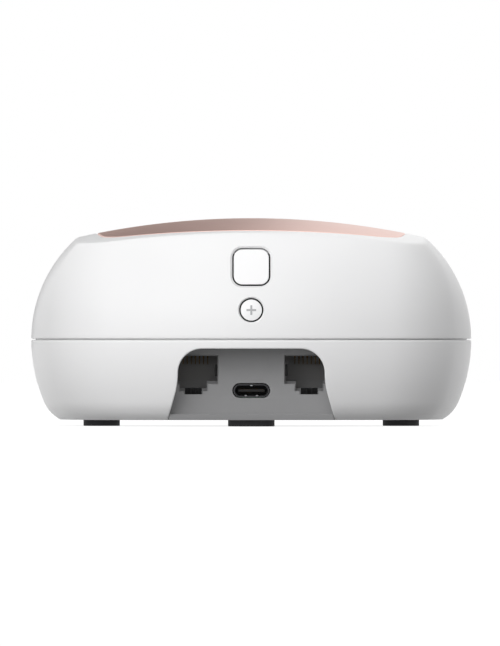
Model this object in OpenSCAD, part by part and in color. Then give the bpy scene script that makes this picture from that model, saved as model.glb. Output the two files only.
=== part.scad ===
// Desktop wireless network point: a rounded-square case in two shells, a domed plate on top,
// two network sockets and a power socket in a bay at the rear, and two push buttons above it.
// The bay side faces -Y, +X is to the right of someone looking at the sockets, +Z is up, and the
// origin is on the table under the middle of the case.

/* [Case] */
// Width of the case at the belt
body_w = 110; // [104:1:118]
// Depth of the case at the belt
body_d = 103; // [98:1:110]
// Height of the belt seam above the underside
belt_h = 20; // [19:0.1:21.5]
// Height of the crown above the belt seam
crown_h = 30.3; // [28:0.1:32]
// Width of the open seam between the two shells
seam_gap = 0.3; // [0.2:0.05:0.5]
// Bevel on the outer edge of both shells at the seam
seam_bevel = 0.35; // [0.2:0.05:0.6]
// Thickness of the case walls
wall = 2; // [1.6:0.1:2.2]
// Thickness of the case floor
floor_t = 1.5; // [1.3:0.1:2]
// Thickness of the domed top, plate included
crown_t = 3; // [2.8:0.1:3.4]
// Radius of the dome
dome_r = 200; // [180:5:260]

/* [Case curves] */
// Plan radius of the front and the rear
end_r = 84; // [80:1:95]
// Plan radius of the sides
side_r = 84; // [80:1:95]
// Plan radius of the corners at the belt
corner_r = 30; // [28:1:32]
// Loss of corner radius for each millimetre that the upper wall leans in
corner_taper = 1.45; // [1:0.05:1.5]
// Gain of side radius for each millimetre that the upper wall leans in
side_growth = 8; // [4:0.5:10]
// Radius of the upper wall, seen from the side
upper_r = 34; // [33:0.5:37]
// Radius of the lower wall, seen from the side
lower_r = 40; // [38:0.5:44]
// Radius of the curve from the lower wall to the underside
edge_r = 9; // [8.6:0.1:10]
// Distance in plan from the belt to the edge of the flat underside
floor_margin = 7.2; // [6.8:0.1:7.6]

/* [Top plate] */
// Distance in plan from the belt to the plate at the sides
plate_margin_x = 16.55; // [15.5:0.05:18]
// Distance in plan from the belt to the plate at the front and the rear
plate_margin_y = 15.9; // [15:0.05:17.5]
// Plan radius of the plate's sides
plate_side_r = 160; // [140:5:200]
// Plan radius of the plate's front and rear edges
plate_end_r = 79; // [74:1:90]
// Radius of the plate's corners
plate_corner_r = 11; // [9:0.5:13]
// Thickness of the plate
plate_t = 1.2; // [0.8:0.1:1.3]
// Thickness of the adhesive film under the plate
film_t = 0.2; // [0.1:0.05:0.25]
// Gap around the plate
plate_gap = 0.1; // [0.05:0.05:0.2]

/* [Feet] */
// Length of a foot along the edge of the case
foot_l = 11.6; // [11:0.1:13]
// Width of a foot
foot_w = 9.1; // [8.5:0.1:10]
// Height that the feet lift the case off the table
foot_h = 1.6; // [1.2:0.1:2.4]
// Depth of the pocket that each foot is glued into
foot_pocket = 0.5; // [0.3:0.1:0.7]
// Distance from the belt to the middle of each foot
foot_inset = 17.6; // [17:0.1:18.5]

/* [Air slots] */
// Number of slots in the underside
slot_count = 9; // [5:1:9]
// Distance between the middles of two slots
slot_pitch = 4.4; // [3.5:0.1:4.6]
// Length of a slot
slot_l = 18; // [12:1:20]
// Width of a slot
slot_w = 1.8; // [1.2:0.1:2.2]

/* [Port bay] */
// Width of the bay above its flare
bay_w = 36.4; // [35.6:0.2:38]
// Distance from the bay's top up to the belt seam
bay_head = 2.3; // [2.2:0.1:2.6]
// Radius of the bay's upper corners
bay_corner_r = 6; // [5:0.25:6.5]
// Radius of the curve that starts the flare
bay_flare_r = 20; // [18:1:26]
// Angle of the flare's straight part from upright
bay_flare = 16; // [14:0.5:17]
// Thickness of the moulded wall around the bay
bay_wall = 1.5; // [1.2:0.1:1.7]
// Depth of the bay from the belt to the port panel
bay_depth = 11; // [10.6:0.1:12.1]
// Thickness of the port panel
panel_t = 1.8; // [1.4:0.1:2.2]
// Depth of the sill at the foot of the port panel
sill_d = 2.4; // [2:0.1:2.6]

/* [Sockets] */
// Distance between the middles of the two network sockets
jack_pitch = 28.8; // [27.6:0.2:30]
// Width of a network socket's body
jack_w = 15.9; // [15:0.1:16.4]
// Height of a network socket's body
jack_h = 12.4; // [12:0.1:12.8]
// Depth of a network socket's body
jack_d = 16; // [15:0.5:19]
// Width of a network socket's mouth
mouth_w = 12; // [11.8:0.1:12.4]
// Height of the foot of the mouth above the board
mouth_z = 3.5; // [3.3:0.1:3.7]
// Height of the mouth
mouth_h = 6.7; // [6.6:0.05:7]
// Depth of the mouth
mouth_d = 13; // [12:0.5:13.5]
// Width of the upper step under the mouth, for the plug's latch
latch_w = 6.7; // [6.4:0.1:7]
// Depth of that step below the mouth
latch_drop = 1.8; // [1.6:0.1:1.9]
// Width of the lower step
notch_w = 4.2; // [3.8:0.1:4.6]
// Depth of the lower step below the mouth
notch_drop = 2.6; // [2.4:0.1:2.8]
// Length of the lower step into the socket
notch_d = 4; // [3:0.5:6]
// Width of each of the two ribs in the lower step
rib_w = 0.3; // [0.2:0.05:0.4]
// Distance between the middles of the two ribs
rib_pitch = 1.3; // [1.1:0.1:1.6]
// Pitch of the contacts
contact_pitch = 1.02; // [0.95:0.01:1.1]
// Width of a contact
contact_w = 0.5; // [0.3:0.05:0.6]
// Thickness of a contact
contact_t = 0.35; // [0.25:0.05:0.45]
// Height that the contacts hang down into the mouth
contact_drop = 2.1; // [1.7:0.1:2.3]
// Distance from the socket's face to the contacts
contact_start = 2.2; // [2:0.1:3]
// Length of the contacts' level part at the back
contact_flat = 1.6; // [1:0.1:2]
// Thickness of the socket's sheet-metal shield
shield_t = 0.25; // [0.2:0.05:0.4]
// Width of the power socket
usb_w = 8.94; // [8.8:0.02:9.2]
// Height of the power socket
usb_h = 3.26; // [3.1:0.02:3.4]
// Depth of the power socket
usb_d = 7.3; // [7:0.1:8]
// Thickness of the power socket's shell
usb_t = 0.3; // [0.2:0.05:0.35]
// Width of the power socket's tongue
tongue_w = 6.7; // [6.4:0.1:6.9]
// Thickness of that tongue
tongue_t = 0.7; // [0.6:0.05:0.8]
// Distance from the panel's face to the tongue's tip
usb_recess = 1.2; // [1:0.1:1.8]
// Gap around the sockets in the port panel
port_gap = 0.2; // [0.15:0.05:0.3]

/* [Buttons] */
// Side of the square button
square_side = 8.7; // [8:0.1:9.2]
// Corner radius of the square button
square_corner_r = 2.1; // [1.5:0.1:3]
// Distance from the crown down to the middle of the square button
square_drop = 12.3; // [12.2:0.1:12.7]
// Diameter of the round button
round_dia = 5.25; // [4.8:0.05:6]
// Distance between the middles of the two buttons
button_pitch = 10.7; // [10.4:0.1:11]
// Gap around both buttons
button_gap = 0.37; // [0.3:0.01:0.45]
// How far each button travels
button_travel = 0.35; // [0.2:0.05:0.5]
// Depth of the buttons' guides from the belt
guide_depth = 13; // [12.8:0.1:13.4]
// Wall of the buttons' guides
guide_wall = 1.2; // [1:0.1:1.3]
// Width of the flange that keeps a button in
flange_w = 0.95; // [0.8:0.05:1]
// Thickness of that flange
flange_t = 1; // [0.8:0.1:1.2]
// Side of a push switch
switch_side = 6; // [5.6:0.1:6.2]
// Thickness of a push switch
switch_t = 3.5; // [3.2:0.1:4]
// Diameter of a switch's plunger
plunger_dia = 3.2; // [2.8:0.1:3.4]
// Length of the plunger outside its switch
plunger_l = 1.5; // [1.2:0.1:1.8]
// Length of the plunger inside its switch
plunger_in = 1.1; // [0.8:0.1:1.4]
// Diameter of the bosses that carry the button board
boss_dia = 4.2; // [4:0.1:4.4]
// Gap between a boss and the square button's flange
boss_gap = 0.8; // [0.6:0.1:1.2]
// Depth of the screws' pilot holes in the bosses
pilot_depth = 6; // [5.5:0.5:7]

/* [Boards] */
// Thickness of the main board
board_t = 1.6; // [1.2:0.1:1.6]
// Height of the main board above the case floor
board_lift = 2.6; // [2.6:0.1:2.8]
// Distance in plan from the belt to the edge of the main board
board_margin = 9; // [8.6:0.1:9.4]
// Thickness of the button board
button_board_t = 1.2; // [0.8:0.1:1.6]
// Distance in plan from the belt to the main board's screws at the sides
screw_inset_x = 25; // [24:0.1:26]
// Distance in plan from the belt to those screws at the front and the rear
screw_inset_y = 27.5; // [27:0.1:28.5]
// Diameter of the screws' shanks that hold the boards
board_screw_dia = 1.8; // [1.6:0.1:2]
// Diameter of the bosses under the main board
board_boss_dia = 6; // [5.4:0.1:6.4]
// Width of the flat cable between the boards
ribbon_w = 7; // [6:0.5:8]
// Diameter of the case screws' shanks
case_screw_dia = 2.4; // [2.2:0.1:2.6]
// Diameter of the case screws' heads
case_head_dia = 5; // [4.6:0.1:5.2]
// Length of the case screws under the head
case_screw_l = 14; // [12:1:16]
// Diameter of the pillars in the bottom shell
pillar_dia = 7.5; // [7.5:0.1:8]
// Height above the underside at which the two shells' pillars meet
pillar_h = 16.4; // [15.5:0.1:17.4]
// Wall between that height and the seat of the case screws' heads
screw_seat = 6; // [5:0.5:7]

/* [Heat path] */
// Width of the heat sink
sink_w = 60; // [56:1:62]
// Depth of the heat sink
sink_d = 29; // [26:1:30]
// Thickness of the heat sink's base
sink_base_t = 2; // [1.6:0.1:2.4]
// Height of the heat sink's fins
fin_h = 7.5; // [5:0.5:9]
// Thickness of a fin
fin_t = 1.2; // [1:0.1:1.5]
// Number of fins
fin_count = 13; // [9:1:15]
// Width of a shielding can
can_w = 26; // [24:1:28]
// Depth of a shielding can
can_d = 24; // [22:1:26]
// Height of the shielding cans
can_h = 3; // [2.6:0.1:3.4]
// Thickness of the shielding cans' sheet
can_t = 0.25; // [0.2:0.05:0.3]
// Thickness of the pads between the cans and the heat sink
pad_t = 1.1; // [0.8:0.1:1.4]
// Distance from a can's edge to its pad
pad_margin = 3; // [1:0.5:5]

/* [Chips] */
// Distance between the middles of two amplifiers
amplifier_pitch = 7; // [5:0.5:8]
// Diameter of a capacitor
capacitor_dia = 6.3; // [5:0.1:7]
// Height of a capacitor
capacitor_h = 7.7; // [5.4:0.1:9]
// Gap between the two capacitors
capacitor_gap = 1.3; // [0.6:0.1:2]

/* [Antennas and light] */
// Height of the antennas
antenna_h = 11; // [9:0.5:12]
// Distance from the board's edge to the antennas at the sides
antenna_margin = 2.1; // [1.8:0.1:2.4]
// Thickness of the antennas' sheet
antenna_t = 0.4; // [0.3:0.05:0.6]
// Length of the antennas at the sides
antenna_side_l = 26; // [22:1:30]
// Length of the antennas at the front
antenna_front_l = 20; // [16:1:22]
// Height of an antenna's radiating strip
antenna_strip = 3; // [2:0.5:4]
// Width of an antenna's legs
antenna_leg = 1.6; // [1.2:0.1:2]
// Distance between an antenna's two legs
antenna_feed = 5; // [4:0.5:7]
// Diameter of the light guide at the front
light_dia = 2.4; // [2:0.1:2.8]
// Distance from the light guide's window up to the belt seam
light_head = 6.6; // [6:0.1:7.6]
// Side of the lamp under the light guide
led_side = 1.6; // [1:0.1:2]
// Height of that lamp
led_h = 0.8; // [0.6:0.1:1.2]

/* [Hidden] */
$fn = 64;

// Small clearance between pieces that are put together, the play of a button at rest, and the clearance
// of a screw in its hole
fit_gap = 0.1;
play = 0.05;
screw_play = 0.4;
// How far a cutting shape runs past the face that it cuts, and how deep a piece is rooted in its neighbour
over = 1;
root = 0.5;

// Levels of the case
floor_z = foot_h;
belt_z = foot_h + belt_h;
dome_z = belt_z + crown_h;
inner_floor_z = floor_z + floor_t;
seam_low = belt_z - seam_gap / 2;
seam_high = belt_z + seam_gap / 2;
half_w = body_w / 2;
half_d = body_d / 2;

// Width, depth and height of the parts that stand on the main board
processor_size = [14, 14, 1.4];
memory_size = [7, 11, 1.1];
flash_size = [6, 8, 1.6];
radio_size = [10, 10, 1];
amplifier_size = [3, 3, 0.8];
transformer_size = [13, 8, 5];
coil_size = [7, 7, 4];
crystal_size = [3.2, 2.5, 0.8];

// The tongue that lines the two shells up
tongue_out = wall / 2 + fit_gap;
tongue_in = wall - fit_gap;
tongue_h = 1.6;

// Steps along the side, corner and end arcs of a quarter of the plan, and up the walls
side_steps = 3;
corner_steps = 9;
end_steps = 6;
wall_steps = 10;

// Levels and planes that several pieces share
board_z = inner_floor_z + board_lift;
board_top = board_z + board_t;
panel_y = bay_depth - half_d;
panel_back = panel_y + panel_t;
jack_y = panel_back + fit_gap;
guide_y = guide_depth - half_d;
flange_y = guide_y + play;
plunger_y = flange_y + flange_t;
switch_y = plunger_y + plunger_l;
button_board_y = switch_y + switch_t;
square_h = dome_z - square_drop;
round_h = square_h - button_pitch;
bay_top = belt_z - bay_head;
window_z = belt_z - light_head;
pillar_z = floor_z + pillar_h;
seat_z = pillar_z - screw_seat;
sink_z = board_top + can_h + pad_t;
foot_x = half_w - foot_inset;
foot_y = half_d - foot_inset;
pillars = [[foot_x, 0], [-foot_x, 0], [0, foot_y]];
board_screw_x = half_w - screw_inset_x;
board_screw_y = half_d - screw_inset_y;
board_screws_at = [for (x = [-1, 1]) for (y = [-1, 1]) [x * board_screw_x, y * board_screw_y]];
boss_x = square_side / 2 + flange_w + boss_gap + boss_dia / 2;
boss_z = (square_h + round_h) / 2;
board_rim = 1.3;
jack_x = jack_pitch / 2;
mouth_foot = board_top + mouth_z;
usb_z = board_top + usb_h / 2;

// ---- Plan outline: tangent arcs for the sides, the corners and the ends ----

// The point at distance r from p and distance s from q, to the left of the line from p to q
function meet(p, r, q, s) =
    let (d = norm(q - p), t = (r * r - s * s + d * d) / (2 * d))
    let (h = sqrt(max(0, r * r - t * t)), u = (q - p) / d)
    p + t * u + h * [-u.y, u.x];

function arc(centre, r, from, to, steps) =
    [for (i = [0:steps - 1]) let (a = from + (to - from) * i / steps) centre + r * [cos(a), sin(a)]];

// A quarter of the outline, from the +X side to just short of the +Y end
function quarter(a, b, side, end, corner) =
    let (c = meet([a - side, 0], side - corner, [0, b - end], end - corner))
    let (u = asin(c.y / (side - corner)), v = acos(c.x / (end - corner)))
    concat(
        arc([a - side, 0], side, 0, u, side_steps),
        arc(c, corner, u, v, corner_steps),
        arc([0, b - end], end, v, 90, end_steps)
    );

function outline(a, b, side, end, corner) =
    let (q = quarter(a, b, side, end, corner), n = len(q))
    concat(
        q,
        [[0, b]],
        [for (i = [n - 1:-1:1]) [-q[i].x, q[i].y]],
        [[-a, 0]],
        [for (i = [1:n - 1]) -q[i]],
        [[0, -b]],
        [for (i = [n - 1:-1:1]) [q[i].x, -q[i].y]]
    );

// The outline at the belt, moved in by t
function belt_outline(t) = outline(half_w - t, half_d - t, side_r - t, end_r - t, corner_r - t);

// ---- Walls: how far the case leans in at a height, t inside its skin ----

function upper_inset(z, t = 0) =
    upper_r - sqrt(max(0, pow(upper_r - t, 2) - pow(z - belt_z, 2)));

// Middle of the curve under the lower edge, as [inset, height]
edge_c = meet([floor_margin, floor_z], edge_r, [lower_r, belt_z], lower_r - edge_r);
edge_angle = atan2(belt_z - edge_c.y, lower_r - edge_c.x);

function lower_inset(z, t = 0) =
    z > edge_c.y - (edge_r - t) * sin(edge_angle)
        ? lower_r - sqrt(max(0, pow(lower_r - t, 2) - pow(z - belt_z, 2)))
        : edge_c.x - sqrt(max(0, pow(edge_r - t, 2) - pow(z - edge_c.y, 2)));

// One level of the upper wall: its corners tighten and its sides flatten as it leans in
function upper_ring(z, t = 0, bevel = 0) =
    let (skin = upper_inset(z), inset = upper_inset(z, t) + bevel, in = inset - skin)
    let (corner = max(1, corner_r - corner_taper * skin - in))
    let (p = outline(half_w - inset, half_d - inset, side_r + side_growth * skin - in, end_r - in, corner))
    [for (q = p) [q.x, q.y, z]];

// One level of the lower wall, which shrinks as a plain offset of the belt
function lower_ring(z, t = 0, bevel = 0) =
    let (inset = lower_inset(z, t) + bevel)
    [for (q = outline(half_w - inset, half_d - inset, side_r - inset, end_r - inset, corner_r - inset / 2))
        [q.x, q.y, z]];

// A closed solid through a stack of rings with the same number of points
module loft(rings) {
    n = len(rings[0]);
    last = (len(rings) - 1) * n;
    polyhedron(
        points = [for (r = rings) each r],
        faces = concat(
            [[for (i = [0:n - 1]) i]],
            [for (k = [0:n:last - n]) for (i = [0:n - 1]) [k + i, k + n + (i + 1) % n, k + (i + 1) % n]],
            [for (k = [0:n:last - n]) for (i = [0:n - 1]) [k + i, k + n + i, k + n + (i + 1) % n]],
            [[for (i = [n - 1:-1:0]) last + i]]
        ),
        convexity = 4
    );
}

function levels(z0, z1) = [for (k = [0:wall_steps]) z0 + (z1 - z0) * k / wall_steps];

module dome(t) {
    translate([0, 0, dome_z - dome_r])
        sphere(dome_r - t, $fn = 360);
}

// The upper half of the case as a solid
module upper_solid() {
    intersection() {
        loft(concat(
            [upper_ring(seam_high, 0, seam_bevel)],
            [for (z = levels(seam_high + seam_bevel, dome_z + root)) upper_ring(z)]
        ));
        dome(0);
    }
}

module upper_hollow() {
    intersection() {
        loft([for (z = levels(belt_z - over, dome_z - crown_t + root)) upper_ring(z, wall)]);
        dome(crown_t);
    }
}

// The lower half of the case as a solid
module lower_solid() {
    loft(concat(
        [for (z = levels(floor_z, seam_low - seam_bevel)) lower_ring(z)],
        [lower_ring(seam_low, 0, seam_bevel)]
    ));
}

module lower_hollow() {
    loft([for (z = levels(inner_floor_z, seam_low + over)) lower_ring(z, wall)]);
}

// ---- Shapes that several pieces share ----

// Turns a drawing in X and Z into a block from y0 to y1
module along_y(y0, y1) {
    translate([0, y1, 0])
        rotate([90, 0, 0])
            linear_extrude(y1 - y0)
                children();
}

// A cylinder along Y from y0 to y1
module rod_y(x, z, dia, y0, y1) {
    translate([x, y1, z])
        rotate([90, 0, 0])
            cylinder(d = dia, h = y1 - y0);
}

// A box given by its middle in plan, its foot and its size
module block(at, size) {
    translate([at.x - size.x / 2, at.y - size.y / 2, at.z])
        cube(size);
}

module rounded_square(side, r) {
    square([side, side - 2 * r], center = true);
    square([side - 2 * r, side], center = true);
    for (x = [-1, 1])
        for (y = [-1, 1])
            translate([x, y] * (side / 2 - r))
                circle(r);
}

module obround(length, width) {
    square([length - width, width], center = true);
    for (x = [-1, 1])
        translate([x * (length - width) / 2, 0])
            circle(d = width);
}

module plate_outline(t) {
    polygon(outline(
        half_w - plate_margin_x - t, half_d - plate_margin_y - t,
        plate_side_r - t, plate_end_r - t, plate_corner_r - t
    ));
}

// ---- Case ----

module square_guide(t) {
    translate([0, square_h])
        rounded_square(square_side + 2 * (button_gap + t), square_corner_r + button_gap + t);
}

module round_guide(t) {
    translate([0, round_h])
        circle(d = round_dia + 2 * (button_gap + t));
}

// The plate's outline as a block that reaches above the dome and below the crown
module plate_block(t) {
    translate([0, 0, dome_z - crown_t * 3])
        linear_extrude(crown_t * 4)
            plate_outline(t);
}

module top_shell() {
    color("white")
    difference() {
        union() {
            difference() {
                upper_solid();
                difference() {
                    upper_hollow();
                    along_y(-half_d, guide_y) square_guide(guide_wall);
                    along_y(-half_d, guide_y) round_guide(guide_wall);
                    for (x = [-1, 1])
                        rod_y(x * boss_x, boss_z, boss_dia, -half_d, button_board_y);
                }
                // Rebate for the bottom shell's tongue
                translate([0, 0, belt_z - over])
                    linear_extrude(over + tongue_h + fit_gap + seam_gap / 2)
                        polygon(belt_outline(wall / 2));
            }
            // Pillars that hang from the dome
            intersection() {
                union() {
                    for (p = pillars)
                        translate([p.x, p.y, pillar_z])
                            cylinder(d = pillar_dia - 2 * root, h = dome_z);
                }
                dome(crown_t - root);
            }
        }
        along_y(-half_d - over, guide_y + over) square_guide(0);
        along_y(-half_d - over, guide_y + over) round_guide(0);
        // Room for the square button's flange under the dome
        along_y(guide_y, switch_y) square_guide(flange_w - button_gap + fit_gap);
        for (x = [-1, 1])
            rod_y(x * boss_x, boss_z, board_screw_dia + fit_gap, button_board_y - pilot_depth,
                button_board_y + over);
        for (p = pillars)
            translate([p.x, p.y, pillar_z - over])
                cylinder(d = case_screw_dia + fit_gap, h = case_screw_l - screw_seat + 2 * over);
        // Pocket for the plate and its film
        difference() {
            plate_block(-plate_gap);
            dome(plate_t + film_t);
        }
    }
}

// The bay seen from the rear, grown by t and with its foot at z0
module bay_outline(t, z0) {
    half = bay_w / 2;
    turn_z = bay_top - bay_corner_r;
    // Foot of the curve that starts the flare, then the straight part down to the underside
    flare_x = bay_flare_r * (1 - cos(bay_flare));
    flare_z = turn_z - bay_flare_r * sin(bay_flare);
    foot_half = half + flare_x + (flare_z - z0) * tan(bay_flare) + t / cos(bay_flare);
    side = [half + flare_x + t * cos(bay_flare), flare_z + t * sin(bay_flare)];
    difference() {
        polygon([
            [-foot_half, z0], [foot_half, z0], side, [half + t, turn_z],
            [half - bay_corner_r, turn_z], [half - bay_corner_r, bay_top + t],
            [bay_corner_r - half, bay_top + t], [bay_corner_r - half, turn_z],
            [-half - t, turn_z], [-side.x, side.y]
        ]);
        for (x = [-1, 1])
            translate([x * (half + bay_flare_r), turn_z])
                circle(bay_flare_r - t, $fn = 180);
    }
    for (x = [-1, 1])
        translate([x * (half - bay_corner_r), turn_z])
            intersection() {
                circle(bay_corner_r + t);
                translate([x > 0 ? 0 : -bay_w, 0])
                    square(bay_w);
            }
}

module bottom_shell() {
    color("white") {
        difference() {
            lower_solid();
            difference() {
                lower_hollow();
                along_y(-half_d, panel_y) bay_outline(bay_wall, floor_z);
                for (p = pillars)
                    translate([p.x, p.y, 0])
                        cylinder(d = pillar_dia, h = pillar_z);
                for (p = board_screws_at)
                    translate([p.x, p.y, 0])
                        cylinder(d = board_boss_dia, h = board_z);
            }
            along_y(-half_d - over, panel_y) bay_outline(0, floor_z - over);
            along_y(panel_y, panel_back + fit_gap) bay_outline(bay_wall, floor_z - over);
            for (f = [0:3])
                foot_pocket_at(f);
            for (p = pillars) {
                translate([p.x, p.y, 0])
                    cylinder(d = case_head_dia + screw_play, h = seat_z);
                translate([p.x, p.y, 0])
                    cylinder(d = case_screw_dia + screw_play, h = pillar_z + over);
            }
            for (p = board_screws_at)
                translate([p.x, p.y, inner_floor_z - root])
                    cylinder(d = board_screw_dia + fit_gap, h = board_lift + 2 * root);
            // Air slots under the board
            for (i = [0:slot_count - 1])
                translate([(i - (slot_count - 1) / 2) * slot_pitch, 0, floor_z - over])
                    linear_extrude(floor_t + 2 * over)
                        rotate(90)
                            obround(slot_l, slot_w);
            rod_y(0, window_z, light_dia + 2 * play, half_d - 2 * wall - over, half_d + over);
        }
        // Tongue that lines up the top shell
        difference() {
            translate([0, 0, seam_low - root])
                linear_extrude(tongue_h + root + seam_gap / 2)
                    polygon(belt_outline(tongue_out));
            translate([0, 0, seam_low - over])
                linear_extrude(tongue_h + 2 * over + seam_gap)
                    polygon(belt_outline(tongue_in));
        }
    }
}

module top_plate() {
    color("#d3a99e")
    difference() {
        intersection() {
            plate_block(0);
            dome(0);
        }
        dome(plate_t);
    }
}

module plate_film() {
    color("#e8e8e0")
    difference() {
        intersection() {
            plate_block(over);
            dome(plate_t);
        }
        dome(plate_t + film_t);
    }
}

// ---- Feet ----

// Foot 0 is at the left, 1 at the right, 2 at the front and 3 at the rear
function foot_place(f) = [[-foot_x, 0], [foot_x, 0], [0, foot_y], [0, -foot_y]][f];

module foot_at(f, t, z0, z1) {
    translate([foot_place(f).x, foot_place(f).y, z0])
        rotate(f < 2 ? 90 : 0)
            linear_extrude(z1 - z0)
                obround(foot_l + 2 * t, foot_w + 2 * t);
}

module foot_pocket_at(f) {
    foot_at(f, play, floor_z - over, floor_z + foot_pocket);
}

module foot(f) {
    color("#1c1c1e")
        foot_at(f, 0, 0, floor_z + foot_pocket);
}

// A screw that points up: its head under z, its shank above
module screw(dia, head_dia, head_h, length) {
    translate([0, 0, -head_h])
        difference() {
            cylinder(d = head_dia, h = head_h);
            translate([0, 0, -over])
                cylinder(d = head_dia * 0.45, h = over + head_h * 0.5, $fn = 6);
        }
    cylinder(d = dia, h = length);
}

module case_screws() {
    color("#8d8f92")
    for (p = pillars)
        translate([p.x, p.y, seat_z])
            screw(case_screw_dia, case_head_dia, case_screw_dia * 0.75, case_screw_l);
}

// ---- Port panel ----

// A part of a socket's mouth: so wide, with its foot that far below the mouth's own, grown by t
module mouth_step(width, drop, t) {
    translate([-width / 2 - t, mouth_foot - drop - t])
        square([width + 2 * t, drop + over + 2 * t]);
}

// A stepped mouth: the plug's own opening, with two steps for its latch under it
module mouth(t) {
    translate([-mouth_w / 2 - t, mouth_foot - t])
        square([mouth_w + 2 * t, mouth_h + 2 * t]);
    mouth_step(latch_w, latch_drop, t);
    mouth_step(notch_w, notch_drop, t);
}

module port_panel() {
    color("#7b7b7b")
    difference() {
        union() {
            along_y(panel_y, panel_back) bay_outline(bay_wall - fit_gap, floor_z);
            intersection() {
                along_y(panel_y - sill_d, panel_y + panel_t / 2) bay_outline(-fit_gap, floor_z);
                block([0, panel_y, floor_z], [body_w, 2 * sill_d, floor_t]);
            }
        }
        for (x = [-1, 1])
            translate([x * jack_x, 0, 0])
                along_y(panel_y - over, panel_back + over) mouth(port_gap);
        along_y(panel_y - over, panel_back + over)
            translate([0, usb_z])
                obround(usb_w + 2 * port_gap, usb_h + 2 * port_gap);
    }
}

// ---- Buttons: each cap slides in its guide and pushes a switch on the button board ----

// The rear of the case as a ring-shaped solid, which gives the caps the case's own curve
module rear_skin() {
    translate([0, end_r - half_d, belt_z])
        rotate_extrude($fn = 180)
            translate([end_r - upper_r, 0])
                circle(upper_r, $fn = 180);
}

module square_button() {
    color("#fbfbfb") {
        intersection() {
            along_y(-half_d - over, flange_y + flange_t / 2) square_guide(-button_gap);
            rear_skin();
        }
        along_y(flange_y, plunger_y)
            translate([0, square_h])
                rounded_square(square_side + 2 * flange_w, square_corner_r + flange_w);
    }
}

module round_button() {
    color("#fbfbfb") {
        intersection() {
            along_y(-half_d - over, flange_y + flange_t / 2) round_guide(-button_gap);
            rear_skin();
        }
        rod_y(0, round_h, round_dia + 2 * flange_w, flange_y, plunger_y);
    }
}

module plunger(z) {
    color("#202022")
        rod_y(0, z, plunger_dia, plunger_y, switch_y + plunger_in);
}

module push_switch(z) {
    color("#3a3a3d")
    difference() {
        translate([-switch_side / 2, switch_y, z - switch_side / 2])
            cube([switch_side, switch_t, switch_side]);
        rod_y(0, z, plunger_dia + fit_gap, switch_y - over, switch_y + plunger_in + button_travel + fit_gap);
    }
}

module button_board() {
    low = round_h - switch_side / 2 - board_rim;
    high = square_h + switch_side / 2 + board_rim;
    half = boss_x + boss_dia / 2 + board_rim / 2;
    color("#1f6b46")
    difference() {
        translate([-half, button_board_y, low])
            cube([2 * half, button_board_t, high - low]);
        for (x = [-1, 1])
            rod_y(x * boss_x, boss_z, board_screw_dia + screw_play, button_board_y - over, ribbon_y + over);
    }
}

module button_board_screws() {
    color("#8d8f92")
    for (x = [-1, 1])
        translate([x * boss_x, button_board_y + button_board_t, boss_z])
            rotate([90, 0, 0])
                screw(board_screw_dia, board_screw_dia * 2, board_screw_dia * 0.75, pilot_depth - over);
}

// The flat cable between the boards, and the socket at each end of it
ribbon_t = 0.3;
ribbon_y = button_board_y + button_board_t + over;
ribbon_socket = [ribbon_w + 2, 2.4, 2];
ribbon_low = board_top + ribbon_socket.z;
ribbon_high = round_h - switch_side / 2 + board_rim / 2;

module ribbon_cable() {
    color("#d8d4c6")
        block([0, ribbon_y, ribbon_low], [ribbon_w, ribbon_t, ribbon_high - ribbon_low]);
}

module ribbon_sockets() {
    color("#efece2") {
        block([0, ribbon_y, board_top], ribbon_socket);
        block([0, ribbon_y, ribbon_high], [ribbon_socket.x, 2 * over, ribbon_socket.z]);
    }
}

// ---- Main board and its parts ----

module main_board() {
    color("#1f6b46")
    difference() {
        translate([0, 0, board_z])
            linear_extrude(board_t)
                intersection() {
                    polygon(belt_outline(board_margin));
                    translate([-half_w, panel_back + 2 * fit_gap])
                        square([body_w, body_d]);
                }
        for (p = pillars)
            translate([p.x, p.y, board_z - over])
                cylinder(d = pillar_dia + 2 * root, h = board_t + 2 * over);
        for (p = board_screws_at)
            translate([p.x, p.y, board_z - over])
                cylinder(d = board_screw_dia + screw_play, h = board_t + 2 * over);
    }
}

module board_screws() {
    color("#8d8f92")
    for (p = board_screws_at)
        translate([p.x, p.y, board_top])
            mirror([0, 0, 1])
                screw(board_screw_dia, board_screw_dia * 2, board_screw_dia * 0.75, board_t + board_lift);
}

module lan_jack(side) {
    color("#2b2b2d")
    translate([side * jack_x, 0, 0]) {
        difference() {
            block([0, jack_y + jack_d / 2, board_top], [jack_w, jack_d, jack_h]);
            along_y(jack_y - over, jack_y + mouth_d)
                translate([-mouth_w / 2, mouth_foot])
                    square([mouth_w, mouth_h]);
            along_y(jack_y - over, jack_y + mouth_d - 2 * over)
                mouth_step(latch_w, latch_drop, 0);
            along_y(jack_y - over, jack_y + notch_d)
                mouth_step(notch_w, notch_drop, 0);
        }
        // Two ribs stand in the lowest step
        for (x = [-1, 1])
            block([x * rib_pitch / 2, jack_y + root + notch_d / 2, mouth_foot - notch_drop],
                [rib_w, notch_d, notch_drop - latch_drop]);
    }
}

// The shield covers the top, the sides and the back of its socket
module lan_shield(side) {
    color("#b9bcc0")
    translate([side * jack_x, 0, 0])
        difference() {
            block([0, jack_y + (jack_d + shield_t) / 2, board_top],
                [jack_w + 2 * shield_t, jack_d + shield_t, jack_h + shield_t]);
            block([0, jack_y + jack_d / 2 - over, board_top - over],
                [jack_w, jack_d + 2 * over, jack_h + over]);
        }
}

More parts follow.
